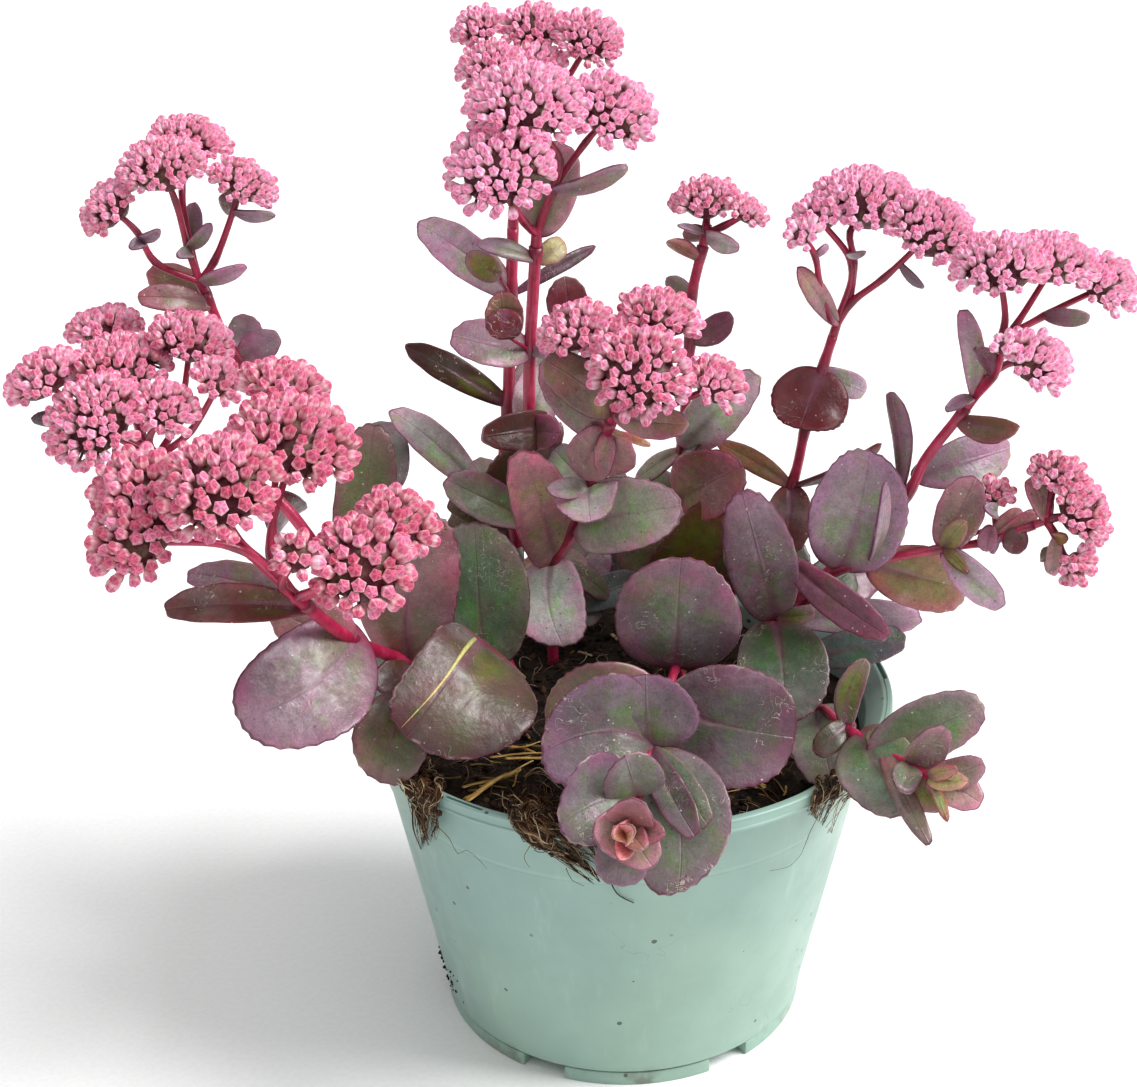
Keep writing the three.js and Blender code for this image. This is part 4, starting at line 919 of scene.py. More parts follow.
# A frame at each point of a path whose Z runs along it, turned as little as possible from one to the next.
def pathFrames(path, radii):
    frames = []
    side = (path[1] - path[0]).normalized().orthogonal().normalized()
    for i, point in enumerate(path):
        ahead = (path[min(i + 1, len(path) - 1)] - path[max(i - 1, 0)]).normalized()
        side = (side - ahead * side.dot(ahead)).normalized()
        rows = Matrix((side, ahead.cross(side), ahead)).transposed().to_4x4()
        frames.append(moved(point, rows, Matrix.Diagonal((radii[i], radii[i], 1, 1))))
    return frames


# A closed tube along a path with its own radius at each point; shades gives each ring's stemPlace.
def tubePart(layers, path, radii, sides, shades=None):
    part = newMesh(*layers)
    frames = pathFrames(path, radii)
    bmesh.ops.create_circle(part, cap_ends=True, segments=sides, radius=1, matrix=frames[0])
    ring, verts = list(part.edges), list(part.verts)
    for i in range(len(frames)):
        if i:
            grown = bmesh.ops.extrude_edge_only(part, edges=ring)["geom"]
            ring = [item for item in grown if isinstance(item, bmesh.types.BMEdge) and item.is_boundary]
            verts = [item for item in grown if isinstance(item, bmesh.types.BMVert)]
            bmesh.ops.transform(part, matrix=frames[i] @ frames[i - 1].inverted(), verts=verts)
        if shades:
            key = layer(part, "stemPlace")
            for vert in verts:
                vert[key] = shades[i]
    bmesh.ops.holes_fill(part, edges=ring, sides=0)
    return part


# A thin tapering fibre in one tone.
def addFibre(bm, path, thick, tone, sides=3, material=0):
    radii = [thick * (1 - 0.6 * i / len(path)) for i in range(len(path))]
    mergeAt(bm, tubePart(["tone"], path, radii, sides), Matrix(), tone, material)


# The pot
pot = dict(
    rimRadius=95, height=124, lipHeight=4.8, lipWidth=3.8, shoulderRadius=88.3, stepHeight=98,
    stepRadius=84.8, baseRadius=65.6, footHeight=4, footCount=6, footSpan=46, footTurn=4.75,
    hubRadius=11, wall=1.9, floor=2.4, steps=160, slotAngles=(-33, 97), slot=(15, 1.5, 6.4),
    drainRadius=5, drainInset=14, sharp=0.42,
)
lipLow = pot["height"] - pot["lipHeight"]


def insideRadius(height):
    rise = (height - pot["footHeight"]) / (pot["height"] - pot["footHeight"])
    return lerp(pot["baseRadius"], pot["shoulderRadius"], rise) - pot["wall"]


def wallRadius(height):
    rise = (height - pot["footHeight"]) / (pot["stepHeight"] - pot["footHeight"])
    return lerp(pot["baseRadius"], pot["stepRadius"], rise) if rise < 1 else pot["shoulderRadius"]


# A profile's corners, each rounded by its own radius with three points.
def roundedProfile(corners):
    profile = [corners[0][:2]]
    for before, corner, after in zip(corners, corners[1:], corners[2:]):
        here, radius = Vector(corner[:2]), corner[2]
        start, end = (here + (Vector(other[:2]) - here).normalized() * radius for other in (before, after))
        profile += [tuple(point) for point in (start, (start + end) * 0.25 + here * 0.5, end)]
    return profile + [corners[-1][:2]]


def spinProfile(bm, profile, steps):
    verts = [bm.verts.new((radius, 0, height)) for radius, height in profile]
    edges = [bm.edges.new(pair) for pair in zip(verts, verts[1:])]
    bmesh.ops.spin(
        bm, geom=verts + edges, cent=(0, 0, 0), axis=(0, 0, 1), angle=fullTurn, steps=steps, use_merge=True
    )
    bmesh.ops.remove_doubles(bm, verts=bm.verts, dist=0.001)
    bmesh.ops.recalc_face_normals(bm, faces=bm.faces)


def makePot():
    rim, step, base, hub = (pot[name] for name in ("rimRadius", "stepRadius", "baseRadius", "hubRadius"))
    height, lip, rise, foot = pot["height"], lipLow, pot["stepHeight"], pot["footHeight"]
    floor, slope = foot + pot["floor"], (step - base) / (rise - foot)
    bm = newMesh()
    corners = [
        (0, 0, 0), (hub, 0, 0.5), (hub + 1, foot, 0.5), (base - 6, foot, 0.3), (base - 5, foot + 1, 0.3),
        (base - 0.5, foot + 1, 0.5), (base + 0.1, foot + 2, 0.2), (base + 0.9, foot + 2.5, 0.25),
        (base + 0.9, foot + 3.4, 0.25), (base + slope * 4 + 0.1, foot + 4, 0.2),
        (step - 0.2, rise - 0.6, 0.2), (step + 0.6, rise + 0.3, 0.3),
        (pot["shoulderRadius"], lip - 0.3, 0.8), (rim - 0.2, lip, 0.4),
        (rim, lip + 0.9, 0.4), (rim - 0.45, lip + 1.3, 0.2), (rim - 0.45, height - 1.1, 0.2),
        (rim - 0.2, height - 0.5, 0.2), (rim - 0.7, height, 0.3), (rim - 2.1, height, 0.2),
        (rim - 2.3, height - 0.35, 0.2), (rim - pot["lipWidth"] + 0.3, height - 0.4, 0.5),
        (insideRadius(lip), lip - 1, 0.8), (insideRadius(floor), floor, 1.5), (0, floor, 0),
    ]
    spinProfile(bm, roundedProfile(corners), pot["steps"])
    cutters = newMesh()
    for angle in pot["slotAngles"]:
        place = moved(around(angle, rim - 1.9, height), turned(math.radians(angle), "Z"))
        place = place @ Matrix.Diagonal((*pot["slot"], 1))
        block = bmesh.ops.create_cube(cutters, size=1, matrix=place)["verts"]
        roundEdges(cutters, list({edge for vert in block for edge in vert.link_edges}), 0.6)
    feet = [360 / pot["footCount"] * i + pot["footTurn"] for i in range(pot["footCount"])]
    for middle in feet:
        place = around(middle + 180 / pot["footCount"], base - pot["drainInset"], foot)
        drain = dict(segments=28, radius1=pot["drainRadius"], radius2=pot["drainRadius"], depth=12)
        bmesh.ops.create_cone(cutters, cap_ends=True, matrix=Matrix.Translation(place), **drain)
    smoothFaces(bm)
    cutBy(bm, cutters)
    for middle in feet:
        makeFoot(bm, middle)
    for edge in bm.edges:
        edge.smooth = edge.calc_face_angle(0) < pot["sharp"]
    finishPiece("pot_shell", bm, [potMaterial], "pot")


# Cuts one mesh out of another through Blender's own Boolean modifier.
def cutBy(bm, cutters):
    body, tool = newObject("cutBody", bm.copy()), newObject("cutTool", cutters)
    modifier = body.modifiers.new("cut", "BOOLEAN")
    modifier.operation, modifier.object, modifier.solver = "DIFFERENCE", tool, "EXACT"
    cut = body.evaluated_get(bpy.context.evaluated_depsgraph_get()).to_mesh()
    bm.clear()
    bm.from_mesh(cut)
    for item in (body, tool):
        mesh = item.data
        bpy.data.objects.remove(item)
        bpy.data.meshes.remove(mesh)


# A foot: a short arc under the pot's outer edge, with rounded edges.
def makeFoot(bm, middle):
    part = newMesh()
    start = around(middle - pot["footSpan"] / 2, pot["baseRadius"] - 2.3, 0)
    across, top = start.normalized() * 2.5, at(0, 0, pot["footHeight"] + 1.3)
    corners = [start - across, start + across, start + across + top, start - across + top]
    face = part.faces.new([part.verts.new(corner) for corner in corners])
    turn = dict(cent=(0, 0, 0), axis=(0, 0, 1), angle=math.radians(pot["footSpan"]), steps=14)
    bmesh.ops.spin(part, geom=[face], **turn)
    bmesh.ops.recalc_face_normals(part, faces=part.faces)
    roundEdges(part, [edge for edge in part.edges if edge.calc_face_angle(0) > 0.6], 0.5)
    merge(bm, part)


# The peat
peat = dict(
    top=111, roughness=1.3, frontRise=2.5, rings=30, steps=120, gap=0.35, crumbs=1500, crumbSize=(0.5, 2.3),
    strands=520, strandRadius=(0.1, 0.26), strandSteps=6, chips=34, stains=40, seed=11,
)


def soilHeight(x, y):
    lumps = math.sin(x * 0.11 + 1) * math.cos(y * 0.13) + 0.6 * math.sin(x * 0.23 - y * 0.19)
    front = max(0, -y - 0.4 * x) / pot["rimRadius"]
    return peat["top"] + peat["roughness"] * lumps + peat["frontRise"] * front


def peatPoint(chance, margin=2.0):
    radius = (insideRadius(peat["top"]) - margin) * math.sqrt(chance.random())
    place = around(chance.uniform(-180, 180), radius, 0)
    place.z = soilHeight(place.x, place.y)
    return place


def newCrumb(size, chance=None, ragged=(1, 1)):
    part = newMesh("tone")
    bmesh.ops.create_icosphere(part, subdivisions=1, radius=size)
    if chance:
        for vert in part.verts:
            vert.co *= chance.uniform(*ragged)
    return part


def makePeat():
    chance = random.Random(peat["seed"])
    bm = newMesh("tone")
    bottom = pot["footHeight"] + pot["floor"] + peat["gap"]
    edge = insideRadius(peat["top"]) - peat["gap"]
    rings = [(edge * (1 - i / peat["rings"]), peat["top"]) for i in range(peat["rings"])]
    profile = [(0, bottom), (insideRadius(bottom) - 1.2, bottom), *rings, (0, peat["top"])]
    spinProfile(bm, profile, peat["steps"])
    for vert in bm.verts:
        if vert.co.z > peat["top"] - 0.1:
            x, y, _ = vert.co
            rough = noise.noise(at(x, y, 0) * 0.16) * 1.6 + noise.noise(at(x, y, 5) * 0.5) * 0.9
            vert.co.z = soilHeight(x, y) + rough * smooth(edge, edge - 6, math.hypot(x, y))
    smoothFaces(bm)
    for _ in range(peat["crumbs"]):
        size = lerp(*peat["crumbSize"], chance.random() ** 2.5)
        squeeze = [chance.uniform(*limits) for limits in ((0.7, 1.4), (0.6, 1), (0.4, 0.8))]
        turn = turned(chance.uniform(*anyTurn), "Z") @ turned(chance.uniform(-0.7, 0.7), "X")
        part = newCrumb(size, chance, (0.75, 1.2))
        place = peatPoint(chance, size + 1)
        place.z += size * 0.15
        shape = moved(place, turn, Matrix.Diagonal((*squeeze, 1)))
        mergeAt(bm, part, shape, chance.random() ** 2 * 0.9)
    for _ in range(peat["chips"]):
        part = newMesh("tone")
        length, wide = chance.uniform(3, 8), chance.uniform(0.6, 1.6)
        place = peatPoint(chance, 5)
        place.z += 1.2
        turn = turned(chance.uniform(*anyTurn), "Z") @ turned(chance.uniform(-0.3, 0.3), "Y")
        shape = moved(place, turn, Matrix.Diagonal((length, wide, 0.7, 1)))
        bmesh.ops.create_cube(part, size=1, matrix=shape)
        roundEdges(part, part.edges, 0.2, 1)
        mergeAt(bm, part, Matrix(), chance.uniform(0.2, 0.9), 1)
    for _ in range(peat["stains"]):
        height, size = chance.uniform(6, 22), lerp(0.3, 1.0, chance.random() ** 2)
        part = newCrumb(size, chance, (0.7, 1.3))
        place = around(chance.gauss(-76, 8), wallRadius(height) + size * 0.3, height)
        mergeAt(bm, part, Matrix.Translation(place), 0.2)
    for _ in range(peat["strands"]):
        addStrand(bm, chance)
    finishPiece("peat", bm, [peatMaterial, fibreMaterial], "soil")


# A root fibre that wanders over the peat.
def addStrand(bm, chance):
    place, count, path = peatPoint(chance, 8), peat["strandSteps"], []
    heading = at(chance.uniform(-1, 1), chance.uniform(-1, 1), 0).normalized()
    stride = chance.uniform(6, 20) / count
    turn = chance.uniform(-0.5, 0.5)
    for step in range(count):
        place.z = soilHeight(place.x, place.y) + 0.9 + 1.1 * math.sin(step / (count - 1) * math.pi)
        path.append(place.copy())
        heading.rotate(turned(turn + chance.uniform(-0.4, 0.4), "Z", 3))
        place = place + heading * stride
        if math.hypot(place.x, place.y) > insideRadius(peat["top"]) - 2:
            place = place * 0.96
    thick = lerp(*peat["strandRadius"], chance.random())
    addFibre(bm, path, thick, 0.2 + 0.8 * chance.random() ** 1.6, material=1)


# The root mats over the rim
mat = dict(
    ropeRadius=(0.9, 2.2), strands=24, radius=(0.12, 0.36), seed=31, twist=4.5, wisps=60, crumbs=60,
    march=0.25, marchStart=480, marchSteps=1400,
)


# The point of the pot that the photo shows at this pixel, and its distance off the wall, lip or peat.
def onPot(across, down, off):
    ray = (seen(across, down, 0) - eye).normalized()
    place = eye + ray * mat["marchStart"]
    for _ in range(mat["marchSteps"]):
        place = place + ray * mat["march"]
        radius = math.hypot(place.x, place.y)
        wall = pot["rimRadius"] if place.z > lipLow - 1 else wallRadius(place.z)
        low = pot["height"] if radius > pot["rimRadius"] - pot["lipWidth"] else soilHeight(place.x, place.y)
        if radius < wall + off and place.z < low + off:
            break
    return place


# A mat is a tangle of ropes between its left and its right edge, with wisps and crumbs in it.
def makeRootMat(row, order):
    chance = random.Random(mat["seed"] + order)
    bm = newMesh("tone")

    def between(part, wobble, off):
        way = []
        for left, right in zip(row["left"], row["right"]):
            part = min(1, max(0, part + chance.uniform(-wobble, wobble)))
            sway = chance.uniform(-3, 3)
            across, down = (lerp(low, high, part) + sway for low, high in zip(left, right))
            way.append(onPot(across, down, off))
        return way

    for i in range(row["ropes"]):
        path = between((i + 0.5) / row["ropes"], 0.2, chance.uniform(0.5, 1.6))
        addRope(bm, path[: len(path) - chance.choice((0, 0, 1))], row["thick"], chance)
    for _ in range(mat["wisps"]):
        path = between(chance.uniform(-0.1, 1.1), 0.3, chance.uniform(0.3, 2.6))
        first = chance.randrange(0, len(path) - 2)
        path = curveThrough(path[first:first + chance.randint(2, 5)], 2.0)
        addFibre(bm, path, chance.uniform(0.1, 0.2), chance.random() ** 1.5)
    for _ in range(mat["crumbs"]):
        part = newCrumb(chance.uniform(0.4, 1.3))
        place = chance.choice(between(chance.random(), 0.3, 0.8)[:-2])
        mergeAt(bm, part, Matrix.Translation(place), 0.2 * chance.random())
    for hair in row["hairs"]:
        path = curveThrough([onPot(across, down, 0.6) for across, down in hair["way"]], 2.0)
        addFibre(bm, path, hair["radius"], hair["tone"], 5)
    finishPiece(row["name"] + "_fibres", bm, [fibreMaterial], row["name"])


# A rope is a twisted bundle of strands round a dark core, and it thins to a ragged end.
def addRope(bm, points, thick, chance):
    path = curveThrough(points, 1.8)
    count = len(path)
    thick *= chance.uniform(*mat["ropeRadius"])
    taper = [thick * (1 - 0.85 * smooth(0.4, 1, i / count)) for i in range(count)]
    frames = pathFrames(path, [1] * count)
    core = tubePart(["tone"], path, [value * 0.6 for value in taper], 6)
    for vert in core.verts:
        vert.co += noise.noise_vector(vert.co * 0.6) * 0.6
    mergeAt(bm, core, Matrix(), 0.02)
    for _ in range(round(mat["strands"] * thick / 2 * (1))):
        out, phase = math.sqrt(chance.uniform(0.2, 1.6)), chance.uniform(*anyTurn)
        twist = chance.gauss(0, mat["twist"])
        first, last = chance.randrange(0, count // 2), count - chance.randrange(0, count // 3)
        sway = chance.uniform(*anyTurn)
        strand = []
        for i in range(first, max(last, first + 3)):
            i = min(i, count - 1)
            turn = phase + twist * i / count + 1.1 * math.sin(i * 0.9 + sway)
            reach = taper[i] * out * (1 + 0.35 * math.sin(i * 0.6 + phase)) + 0.2
            strand.append(frames[i] @ at(reach * math.cos(turn), reach * math.sin(turn), 0))
        size = lerp(*mat["radius"], chance.random() ** 2)
        tone = chance.random() ** 1.3 * 0.75 if chance.random() < 0.85 else chance.uniform(0.7, 1)
        addFibre(bm, strand, size, tone)


# The straw
straw = dict(flakes=2, splinters=7, grid=(18, 4))


# A chip split along its length into flakes, with fine splinters round it.
def makeStraw(row):
    chance = random.Random(row["name"])
    bm = newMesh("strawPlace")
    turn = math.radians(row["turn"])
    for i in range(straw["flakes"]):
        place = around(row["angle"], row["radius"], 0)
        place += at(-math.sin(turn), math.cos(turn), 0) * ((i - 0.5) * row["wide"] * 0.8)
        place += at(math.cos(turn), math.sin(turn), 0) * chance.uniform(-4, 4)
        wide, length = row["wide"] * chance.uniform(0.22, 0.42), row["length"] * chance.uniform(0.6, 0.95)
        aim = row["turn"] + chance.uniform(-12, 12)
        addSplinter(bm, place, length, wide, aim, row["lift"], 0.3 * i, chance)
    for _ in range(straw["splinters"]):
        place = around(row["angle"] + chance.uniform(-14, 14), row["radius"] + chance.uniform(-16, 12), 0)
        length, wide = chance.uniform(4, 14), chance.uniform(0.3, 0.9)
        aim, lift = row["turn"] + chance.gauss(0, 55), chance.uniform(1.6, 3.2)
        addSplinter(bm, place, length, wide, aim, lift, chance.random(), chance)
    finishPiece(row["name"] + "_chip", bm, [strawMaterial], row["name"])


def addSplinter(bm, place, length, wide, turn, lift, tone, chance):
    place.z = soilHeight(place.x, place.y) + lift
    part = newMesh("strawPlace")
    bmesh.ops.create_grid(part, x_segments=straw["grid"][0], y_segments=straw["grid"][1], size=0.5)
    key, blunt, phase = layer(part, "strawPlace"), chance.uniform(-0.9, 0.9), chance.uniform(0, 9)
    for vert in part.verts:
        x, y, _ = vert.co
        fray = 1 + 0.2 * noise.noise(at(y * 9, phase, 0)) * (abs(x) > 0.45)
        side = y * wide * (1 - blunt * x) * (1 + 0.5 * noise.noise(at(x * 6, 1 + y, phase)))
        bend = length * 0.06 * (x * x - 0.1) + wide * 0.2 * math.cos(y * 9) + wide * 0.2 * (0.25 - y * y)
        vert[key] = (x * length, y * wide, tone)
        vert.co = (x * length * fray, side + length * 0.07 * math.sin(x * 4 + phase), bend)
    bmesh.ops.solidify(part, geom=part.faces, thickness=0.15 + wide * 0.12)
    tilt = turned(chance.uniform(-0.16, 0.16), "Y"), turned(chance.uniform(-0.5, 0.5), "X")
    bmesh.ops.transform(part, matrix=moved(place, turned(math.radians(turn), "Z"), *tilt), verts=part.verts)
    merge(bm, part)

# Leaves and stems
stem = dict(radius=2.5, topRadius=2.15, swell=0.22, sides=12, spacing=3.2, bury=16, nodeDrop=5, stalk=0.7)
leaf = dict(
    thick=2.6, edge=0.9, steps=(64, 16), smallWide=12, smallSteps=(24, 10), teeth=0.016, wander=0.02,
    ripple=0.035, twist=0.12, creaseTint=(190, 184, 112), creaseSteps=12,
)
# The named tints: a leaf's middle, its margin, and the part near the stem.
tints = dict(
    mauve=(112, 98, 102, 124, 92, 108, 88, 98, 76), mallow=(140, 116, 126, 148, 104, 124, 112, 118, 96),
    plum=(112, 68, 84, 124, 66, 88, 94, 66, 58), green=(76, 94, 70, 96, 88, 80, 70, 96, 54),
    teal=(78, 94, 88, 92, 90, 92, 64, 84, 66), fern=(86, 98, 54, 114, 84, 72, 84, 102, 44),
    olive=(96, 96, 70, 118, 82, 84, 84, 94, 46), moss=(70, 66, 36, 92, 54, 44, 74, 84, 34),
    bronze=(98, 62, 52, 112, 54, 56, 88, 84, 44), maroon=(98, 38, 48, 100, 38, 52, 84, 40, 36),
    ruby=(112, 10, 20, 124, 10, 24, 96, 8, 14), wet=(84, 34, 22, 116, 54, 50, 66, 26, 18),
    lilac=(152, 132, 144, 164, 126, 148, 124, 130, 112), bloom=(122, 122, 118, 136, 104, 124, 112, 132, 98),
    silver=(128, 130, 118, 136, 112, 122, 118, 128, 96), rose=(172, 126, 126, 180, 106, 122, 146, 140, 100),
    coral=(214, 116, 116, 226, 140, 142, 228, 196, 160), brown=(104, 84, 70, 100, 72, 70, 112, 112, 64),
    slate=(96, 88, 88, 114, 80, 94, 84, 88, 72), russet=(126, 84, 82, 130, 70, 86, 112, 98, 66),
    sand=(150, 142, 104, 138, 76, 52, 158, 158, 128), shell=(140, 122, 112, 168, 118, 132, 116, 124, 88),
    sage=(138, 144, 124, 160, 130, 140, 120, 136, 104), pearl=(166, 164, 160, 172, 136, 152, 142, 158, 140),
    leafy=(104, 118, 88, 140, 108, 118, 88, 112, 66), ember=(66, 48, 26, 72, 30, 28, 104, 122, 36),
    olivine=(112, 108, 50, 124, 84, 66, 104, 114, 44), dusk=(106, 84, 92, 116, 78, 96, 98, 92, 72),
    orchid=(132, 118, 122, 148, 106, 134, 106, 124, 76),
    cream=(186, 178, 120, 196, 140, 120, 170, 176, 104), blush=(160, 128, 90, 190, 106, 110, 150, 140, 84),
    amber=(146, 104, 48, 140, 82, 54, 120, 108, 42), lime=(122, 124, 54, 146, 102, 108, 116, 128, 48),
    clay=(146, 116, 112, 160, 102, 118, 132, 126, 92),
)


# The leaf's frame: where it starts, its length, and the directions along it, across it and out of it.
def leafAxes(base, row):
    along = row["tip"] - base
    length = along.length
    along.normalize()
    facing = eye - base.lerp(row["tip"], 0.5)
    facing = (facing - along * facing.dot(along)).normalized()
    facing.rotate(turned(math.radians(row["turn"]), along, 3))
    return length, along, along.cross(facing), facing


# One thick leaf: a rounded disc whose outline is pinched to the base, lifted, cupped and rippled.
def leafPart(base, row, chance):
    length, along, side, normal = leafAxes(base, row)
    wide, arch, cup = row["wide"], row["arch"], row["cup"]
    base = base - along * row["back"] + normal * row["front"]
    length += row["back"]
    pinch = max(0.04, 0.58 - 0.66 * wide / length) if row["pinch"] is None else row["pinch"]
    part = newMesh(*plantLayers)
    segments, rings = leaf["smallSteps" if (wide < leaf["smallWide"]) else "steps"]
    bmesh.ops.create_uvsphere(part, u_segments=segments, v_segments=rings, radius=1)
    place, tint, rim = (layer(part, name) for name in plantLayers[:3])
    # The brightness gain is partly the leaf's own tone and partly painted light and shade.
    light = chance.uniform(0.95, 1.05) * row["light"]
    tones = tints[row["tint"]]
    inner, outer, heart = (Vector(rgb(*tones[i:i + 3])[:3]) * light for i in (0, 3, 6))
    phases = [chance.uniform(0, fullTurn) for _ in range(4)]
    teeth = round(max(9, wide * chance.uniform(0.7, 0.95)))
    twist = chance.uniform(-leaf["twist"], leaf["twist"])
    drift = chance.uniform(-0.03, 0.03) + row["drift"]
    for vert in part.verts:
        x, y, z = vert.co
        angle = math.atan2(y, x)
        out = math.hypot(x, y) ** 0.9
        rimReach = 0.5 - 0.5 * math.cos(angle)
        wave = leaf["teeth"] * math.sin(teeth * angle + phases[0]) * smooth(0.3, 0.6, rimReach)
        slow = leaf["wander"] * math.sin(3 * angle + phases[1])
        notch = 1 + (wave + (slow + 0.4 * leaf["wander"] * math.sin(5 * angle + phases[2])))
        rimReach = 0.5 - 0.5 * math.cos(angle) * notch
        rimAcross = math.copysign(abs(math.sin(angle)) ** row["full"], angle) * notch
        rimAcross *= 1 - pinch * (1 - rimReach) ** 2
        reach, across = lerp(0.5, rimReach, out), rimAcross * out
        lift = arch * length * 4 * reach * (1 - reach) + cup * (wide / 2) * across * across
        ripple = leaf["ripple"] * wide * out * out * math.sin(3 * angle + phases[3])
        lift += ripple * smooth(0.1, 0.5, reach)
        lift += twist * across * (wide / 2) * reach
        level = abs(z)
        half = leaf["edge"] / 2 * min(1, level * 3) + (leaf["thick"] - leaf["edge"]) / 2 * level ** 1.4
        half *= lerp(1.25, 0.9, reach)
        groove = 0.45 * math.exp(-((across * wide / 2 / 1.3) ** 2)) * max(0, 1 - reach) ** 0.5
        shift = drift * length * 4 * reach * (1 - reach)
        vert.co = base + along * (reach * length)
        vert.co += side * ((wide / 2) * across + shift)
        vert.co += normal * (lift + math.copysign(half, z) - (groove if z > 0 else 0))
        vert[place] = (across * wide / 2 + (shift if row["crease"] else 0), reach, out)
        toHeart = smooth(0.62, 0.12, reach + 0.16 * math.sin(3 * angle + phases[0]) + 0.3 * abs(across))
        vert[tint] = (*inner.lerp(heart, toHeart), smooth(-0.25, 0.25, z))
        vert[rim] = (*outer, 1)
    if row["crease"]:
        tops = [(vert[place], (vert.co - base).dot(normal)) for vert in part.verts if vert[tint].w > 0.6]
        addCrease(part, row, tops, base, along * length, side, normal)
    return part


# A pale ridge on the upper face, at the height of the face's nearest points.
def addCrease(part, row, tops, base, along, side, normal):
    last, length, path = leaf["creaseSteps"], along.length, []
    for i in range(last + 1):
        across, reach = (lerp(start, end, i / last) for start, end in zip(*row["crease"]))
        across += math.sin(reach * 7) * 0.6
        gaps = [math.hypot(top.x - across, (top.y - reach) * length) + 0.3 for top, _ in tops]
        near = sorted(zip(gaps, (height for _, height in tops)))[:6]
        lift = sum(height / gap for gap, height in near) / sum(1 / gap for gap, _ in near) + 0.15
        path.append(base + along * reach + side * across + normal * lift)
    ridge = tubePart(plantLayers, path, [row["ridge"] * (1.1 - i / last) for i in range(last + 1)], 6)
    pale = rgb(*leaf["creaseTint"])
    for name, value in zip(plantLayers, ((9, 0.5, 0), pale, pale)):
        setLayer(ridge, name, value)
    merge(part, ridge)


# How close each point of a path is to a node, from 0 to 1.
def nodeShade(path, nodes, reach):
    near = reach * 0.25
    return [max([smooth(reach, near, (point - node).length) for node in nodes] + [0]) for point in path]


def makeShoot(row):
    chance = random.Random(row["name"])
    bm = newMesh(*plantLayers)
    points, (x, y) = row["stem"], row["root"]
    mouth = at(x, y, soilHeight(x, y))
    buried = mouth - (points[0] - mouth).normalized() * stem["bury"] * 0.5
    path = curveThrough([buried, mouth, *points], stem["spacing"])
    shades = nodeShade(path, [points[item["node"]] for item in row["leaves"]], 6)
    radii = [
        row["thick"] * lerp(stem["radius"], stem["topRadius"], i / len(path)) * (1 + stem["swell"] * shade)
        for i, shade in enumerate(shades)
    ]
    merge(bm, tubePart(plantLayers, path, radii, stem["sides"], shades), 1)
    below = (points[-2] - points[-1]).normalized() * stem["nodeDrop"]
    for item in row["leaves"]:
        node = points[item["node"]] + (below if item["node"] == len(points) - 1 else Vector())
        base = item["base"] or node
        if item["stalk"]:
            way = curveThrough([node, node.lerp(base, 0.5), base], 2.5)
            merge(bm, tubePart(plantLayers, way, [stem["stalk"]] * len(way), 6, [0.6] * len(way)), 1)
        merge(bm, leafPart(base, item, chance), 0)
    finishPiece(row["name"] + "_leafy", bm, [leafMaterial, stemMaterial], row["name"])


# The flower heads
bud = dict(
    long=1.36, sink=0.6, jitter=0.1, tall=0.6, arc=1.16, turn=103, pull=0.06, twigs=13, sizes=(0.86, 1.1),
    profile=[(0, 0), (0.08, 0.46), (0.34, 0.86), (0.62, 1), (0.82, 0.82), (0.94, 0.42), (1, 0)], tones=9,
    pedicel=0.5, twig=0.85, core=0.74, seam=0.2, spread=0.88, inset=0.68, limb=1.45, neck=6.3,
)


# The shape of a closed bud: five keels that close to a point. Its foot is at the origin.
def budShape(tone):
    part = newMesh(*plantLayers)
    bmesh.ops.create_uvsphere(part, u_segments=10, v_segments=6, radius=1)
    place = layer(part, "budPlace")
    for vert in part.verts:
        x, y, z = vert.co
        height, width = bud["profile"][round(math.acos(max(-1, min(1, -z))) / math.pi * 6)]
        angle = math.atan2(y, x)
        seam = 0.5 - 0.5 * math.cos(5 * (angle - math.pi / 2))
        radius = 0.5 * width * (1 - bud["seam"] * seam * smooth(0.05, 0.5, height))
        dip = 0.05 * seam * smooth(0.6, 0.9, height)
        vert.co = (radius * math.cos(angle), radius * math.sin(angle), height - dip)
        vert[place] = (seam, height, tone)
    for edge in part.edges:
        edge.smooth = any(vert[place].x > 0.5 or vert[place].y < 0.2 for vert in edge.verts)
    bmesh.ops.recalc_face_normals(part, faces=part.faces)
    return keepShape("budShape", part, 2)


def keepShape(name, part, material):
    smoothFaces(part, material)
    mesh = bpy.data.meshes.new(name)
    part.to_mesh(mesh)
    part.free()
    return mesh


# The plain stick that pedicels and branchlets are stretched from.
def makeStick():
    part = newMesh(*plantLayers)
    middle = Matrix.Translation((0, 0, 0.5))
    bmesh.ops.create_cone(part, cap_ends=False, segments=4, radius1=1, radius2=1, depth=1, matrix=middle)
    return keepShape("stickShape", part, 3)


budShapes = [budShape(tone / (bud["tones"] - 1)) for tone in range(bud["tones"])]
stickShape = makeStick()


# Adds a copy of a shape, whose +Z turns to the given direction.
def stamp(bm, shape, start, heading, wide, length, turn=0.0):
    facing = heading.normalized().to_track_quat("Z", "Y").to_matrix().to_4x4()
    copy = shape.copy()
    copy.transform(moved(start, facing @ turned(turn, "Z"), Matrix.Diagonal((wide, wide, length, 1))))
    bm.from_mesh(copy)
    bpy.data.meshes.remove(copy)


def addStick(bm, start, end, wide):
    stamp(bm, stickShape, start, end - start, wide, (end - start).length)


